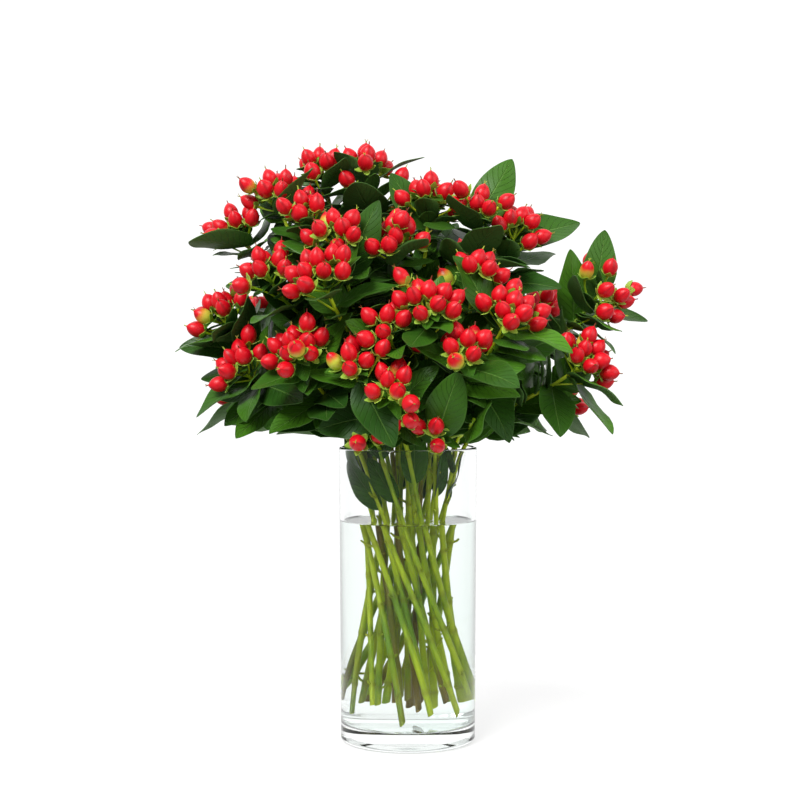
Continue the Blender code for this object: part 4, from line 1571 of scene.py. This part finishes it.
def add_calyx(mould, middle, axis, draw):
    """Five rounded sepals that cup the foot of a berry, some of them standing off."""
    sides = square_to(axis)
    turn = draw.uniform(0, math.tau)
    standing = draw.uniform(0.4, 2.6) * MM
    for number in range(SEPALS):
        heading = turn + math.tau * number / SEPALS + draw.uniform(-0.12, 0.12)
        reach = sizes().sepal_length * draw.uniform(0.85, 1.12)
        half = reach * draw.uniform(0.38, 0.48)
        off = standing * draw.uniform(0.5, 1.5)
        points, along_values, across_values = [], [], []
        for layer in (0.5, -0.5):
            for row in range(SEPAL_STEPS + 1):
                along = row / SEPAL_STEPS
                polar = 0.14 + along * reach / BERRY_RADIUS
                gap = (0.25 + 0.3 * layer) * MM + off * along ** 1.6
                girth = (BERRY_RADIUS + gap) * math.sin(min(polar, 1.9))
                drop = -(BERRY_LENGTH / 2 + gap) * math.cos(polar)
                for share in SEPAL_COLUMNS:
                    angle = heading + share * half * sepal_outline(along) / max(girth, 1.5 * MM)
                    lift = 0.4 * MM * abs(share) * along
                    spoke = spoke_at(sides, angle) * (girth + lift)
                    points.append(middle + axis * drop + spoke)
                    along_values.append(along)
                    across_values.append(share)
        mould.add(points, blade_faces(SEPAL_STEPS, len(SEPAL_COLUMNS)), along=along_values,
                  across=across_values)


STYLE_SHARES = (0.0, 0.35, 0.7, 1.0)
STYLE_RADII = (0.42 * MM, 0.3 * MM, 0.22 * MM, 0.2 * MM)


def add_styles(mould, middle, axis, length, draw):
    """Three thin threads that stand close together at a berry's tip."""
    opening = draw.choice((0.05, 0.1, 0.2, 0.5))
    dryness = draw.choice((0.15, 0.6, 0.9, 1.0))
    sides = square_to(axis)
    turn = draw.uniform(0, math.tau)
    tip = middle + axis * (length / 2 * 1.1)
    for number in range(STYLES):
        spread = spoke_at(sides, turn + math.tau * number / STYLES)
        reach = sizes().style_length * draw.uniform(0.6, 1.1)
        path = [tip + axis * reach * share + spread * reach * (0.05 + opening * share * share)
                for share in STYLE_SHARES]
        mould.add(*tube(path, STYLE_RADII, 5), along=0.25, dry=dryness)


def build_berries(growth):
    """The berries of a stem as one piece, and their sepals and threads as another."""
    draw = hand_for(growth, BERRY_JOB)
    berries = Mould("along", "crease", "unripe")
    calyces = Mould("along", "across", "dry")
    for (_root, middle, *_ways), axis in zip(growth.berries, hanging_axes(growth)):
        girth = BERRY_RADIUS * draw.uniform(0.88, 1.06)
        length = BERRY_LENGTH * draw.uniform(0.97, 1.08)
        late = (middle - LATE_PLACE).length < LATE_REACH
        unripe = draw.uniform(0.3, 1.0) if draw.random() < UNRIPE_SHARES[late] else 0.0
        add_berry(berries, middle, axis, girth, length, draw.uniform(0, math.tau), unripe)
        add_calyx(calyces, middle, axis, draw)
        add_styles(calyces, middle, axis, length, draw)
    berries.make(growth, "berries", "berry")
    calyces.make(growth, "calyces", "calyx")


def arc(middle_radius, middle_height, radius, start, end, steps):
    """Points of an arc in a profile, between two angles in degrees."""
    points = []
    for step in range(steps + 1):
        angle = math.radians(start + (end - start) * step / steps)
        points.append((middle_radius + radius * math.cos(angle),
                       middle_height + radius * math.sin(angle)))
    return points


RIM_ROUND = VASE_WALL / 2
HEEL_ROUND = 3.2 * MM
CORNER_ROUND = 1.6 * MM
PUNT_RISE = 3.0 * MM
GUARD = 0.4 * MM
GUARD_RUN = 4 * MM
MENISCUS_STEPS = 5
MENISCUS_REACH = 4 * MM
SHARP_ANGLE = math.radians(75)


def guarded(profile):
    """A profile with extra points near the ends of its long runs, which keep them straight."""
    points = [profile[0]]
    for before, after in zip(profile, profile[1:]):
        a, b = Vector(before), Vector(after)
        if (b - a).length > GUARD_RUN:
            step = (b - a).normalized() * GUARD
            points += [tuple(a + step), tuple(b - step)]
        points.append(after)
    return points


def build_glass():
    """The cylinder of clear glass, with a rounded rim, a thick floor and a rounded heel."""
    corner = inner_radius(VASE_FLOOR + CORNER_ROUND) - CORNER_ROUND
    profile = [(0, PUNT_RISE), (VASE_FOOT_RADIUS * 0.6, PUNT_RISE * 0.8)]
    profile += arc(VASE_FOOT_RADIUS - HEEL_ROUND, HEEL_ROUND, HEEL_ROUND, -90, 0, 8)
    profile += arc(VASE_RIM_RADIUS - RIM_ROUND, VASE_HEIGHT - RIM_ROUND, RIM_ROUND, 0, 180, 12)
    profile += arc(corner, VASE_FLOOR + CORNER_ROUND, CORNER_ROUND, 0, -90, 8)
    profile += [(0, VASE_FLOOR)]
    mesh = turned_mesh(guarded(profile), sizes().glass_sides)
    finished("vase_glass", mesh, "glass", "vase")


def build_still_water():
    """The water, whose edge climbs a little at the glass."""
    overlap = sizes().water_overlap
    climb = sizes().water_climb
    floor = VASE_FLOOR - overlap
    corner = inner_radius(VASE_FLOOR + CORNER_ROUND) - CORNER_ROUND
    wall = inner_radius(WATER_LEVEL) + overlap
    profile = [(0, floor)]
    profile += arc(corner, VASE_FLOOR + CORNER_ROUND, CORNER_ROUND + overlap, -90, 0, 8)
    profile += [(wall, WATER_LEVEL + climb), (wall - overlap, WATER_LEVEL + climb)]
    for step in range(1, MENISCUS_STEPS + 1):
        share = step / MENISCUS_STEPS
        profile.append((wall - overlap - MENISCUS_REACH * share,
                        WATER_LEVEL + climb * (1 - share) ** 2))
    profile += [(wall * 0.5, WATER_LEVEL), (0, WATER_LEVEL)]
    mesh = turned_mesh(guarded(profile), sizes().glass_sides)
    finished("vase_water", mesh, "water", "water")


# How far a direction points to the back, plus a share of how far it points up, makes a
# measure; between these two values of it the surroundings turn from dim to white. The dim
# side gives the glass its edges.
TOP_SHARE = 0.6
WHITE_FROM_TO = (0.35, 0.72)
FLOOR_DROP = 0.2 * MM
KEY_PLACE, KEY_SPREAD = (-0.55, -0.95, 1.0), 30
FILL_PLACE, FILL_SPREAD = (0.95, -0.75, 0.5), 50
CAMERA_PLACE = Vector((-0.0058, -1.3, 0.29))
CAMERA_AIM = Vector((-0.0058, 0, 0.249))
SENSOR_WIDTH = 36


def add_light(name, place, spread, power):
    """An even light from one side, as soft as a large cloth in front of a lamp."""
    lamp = bpy.data.lights.new(name, "SUN")
    lamp.angle = math.radians(spread)
    lamp.energy = power
    item = add_object(name, lamp)
    item.location = place
    item.rotation_euler = Vector(place).to_track_quat("Z", "Y").to_euler()


def build_stage():
    """A plain white floor, white surroundings, two soft lights and the camera."""
    look = bpy.context.scene.hypericum_stage
    bm = bmesh.new()
    bmesh.ops.create_circle(bm, cap_ends=True, segments=128, radius=FLOOR_REACH)
    floor = add_object("floor", mesh_from(bm, "floor"))
    floor.location.z = -FLOOR_DROP
    floor.data.materials.append(floor_finish())
    world = bpy.data.worlds.new("studio")
    world.use_nodes = True
    recipe = Recipe(world.node_tree)
    way = recipe.node("ShaderNodeTexCoord", output="Generated")
    away = recipe.node("ShaderNodeSeparateXYZ", {}, {0: way}, "Y")
    above = recipe.node("ShaderNodeSeparateXYZ", {}, {0: way}, "Z")
    sky = world.node_tree.nodes["Background"]
    sky.inputs["Color"].default_value = (1, 1, 1, 1)
    share = recipe.step(away + above * TOP_SHARE, *WHITE_FROM_TO, look.front_share, 1.0)
    recipe.feed(sky.inputs["Strength"], share * look.daylight)
    bpy.context.scene.world = world
    add_light("key", KEY_PLACE, KEY_SPREAD, look.key_power)
    add_light("fill", FILL_PLACE, FILL_SPREAD, look.fill_power)
    camera = bpy.data.cameras.new("camera")
    camera.lens = look.lens
    camera.sensor_width = SENSOR_WIDTH
    item = add_object("camera", camera)
    item.location = CAMERA_PLACE
    item.rotation_euler = (CAMERA_AIM - CAMERA_PLACE).to_track_quat("-Z", "Y").to_euler()
    bpy.context.scene.camera = item
    bpy.context.scene.view_settings.view_transform = "Standard"


class HYPERICUM_OT_vase(bpy.types.Operator):
    """Make the glass vase and its water"""

    bl_idname = "hypericum.vase"
    bl_label = "Vase and water"

    def execute(self, context):
        build_glass()
        build_still_water()
        return {"FINISHED"}


class HYPERICUM_OT_stalks(bpy.types.Operator):
    """Make the stalks with their twigs and the thin stalks of the berries"""

    bl_idname = "hypericum.stalks"
    bl_label = "Stalks"

    def execute(self, context):
        for growth in dressed_bunch():
            build_stalk(growth)
        return {"FINISHED"}


class HYPERICUM_OT_leaves(bpy.types.Operator):
    """Make the leaves and the small leaves among the berries"""

    bl_idname = "hypericum.leaves"
    bl_label = "Leaves"

    def execute(self, context):
        for growth in dressed_bunch():
            build_leaves(growth)
        return {"FINISHED"}


class HYPERICUM_OT_berries(bpy.types.Operator):
    """Make the berries with their sepals and threads"""

    bl_idname = "hypericum.berries"
    bl_label = "Berries"

    def execute(self, context):
        for growth in dressed_bunch():
            build_berries(growth)
        return {"FINISHED"}


class HYPERICUM_OT_stage(bpy.types.Operator):
    """Make the floor, the lights and the camera"""

    bl_idname = "hypericum.stage"
    bl_label = "Stage"

    def execute(self, context):
        build_stage()
        return {"FINISHED"}


STEPS = (HYPERICUM_OT_vase, HYPERICUM_OT_stalks, HYPERICUM_OT_leaves, HYPERICUM_OT_berries,
         HYPERICUM_OT_stage)


class HYPERICUM_PT_panel(bpy.types.Panel):
    """Lists the steps that make the vase of stems"""

    bl_label = "Hypericum vase"
    bl_space_type = "VIEW_3D"
    bl_region_type = "UI"
    bl_category = "Hypericum"

    def draw(self, context):
        for step in STEPS:
            self.layout.operator(step.bl_idname)


CLASSES = (HypericumSizes, HypericumColours, HypericumStage, *STEPS, HYPERICUM_PT_panel)


def register():
    for each in CLASSES:
        bpy.utils.register_class(each)
    bpy.types.Scene.hypericum_sizes = bpy.props.PointerProperty(type=HypericumSizes)
    bpy.types.Scene.hypericum_colours = bpy.props.PointerProperty(type=HypericumColours)
    bpy.types.Scene.hypericum_stage = bpy.props.PointerProperty(type=HypericumStage)


def unregister():
    del bpy.types.Scene.hypericum_stage
    del bpy.types.Scene.hypericum_colours
    del bpy.types.Scene.hypericum_sizes
    for each in reversed(CLASSES):
        bpy.utils.unregister_class(each)


def main():
    register()
    for step in STEPS:
        kind, name = step.bl_idname.split(".")
        getattr(getattr(bpy.ops, kind), name)()


if __name__ == "__main__":
    main()
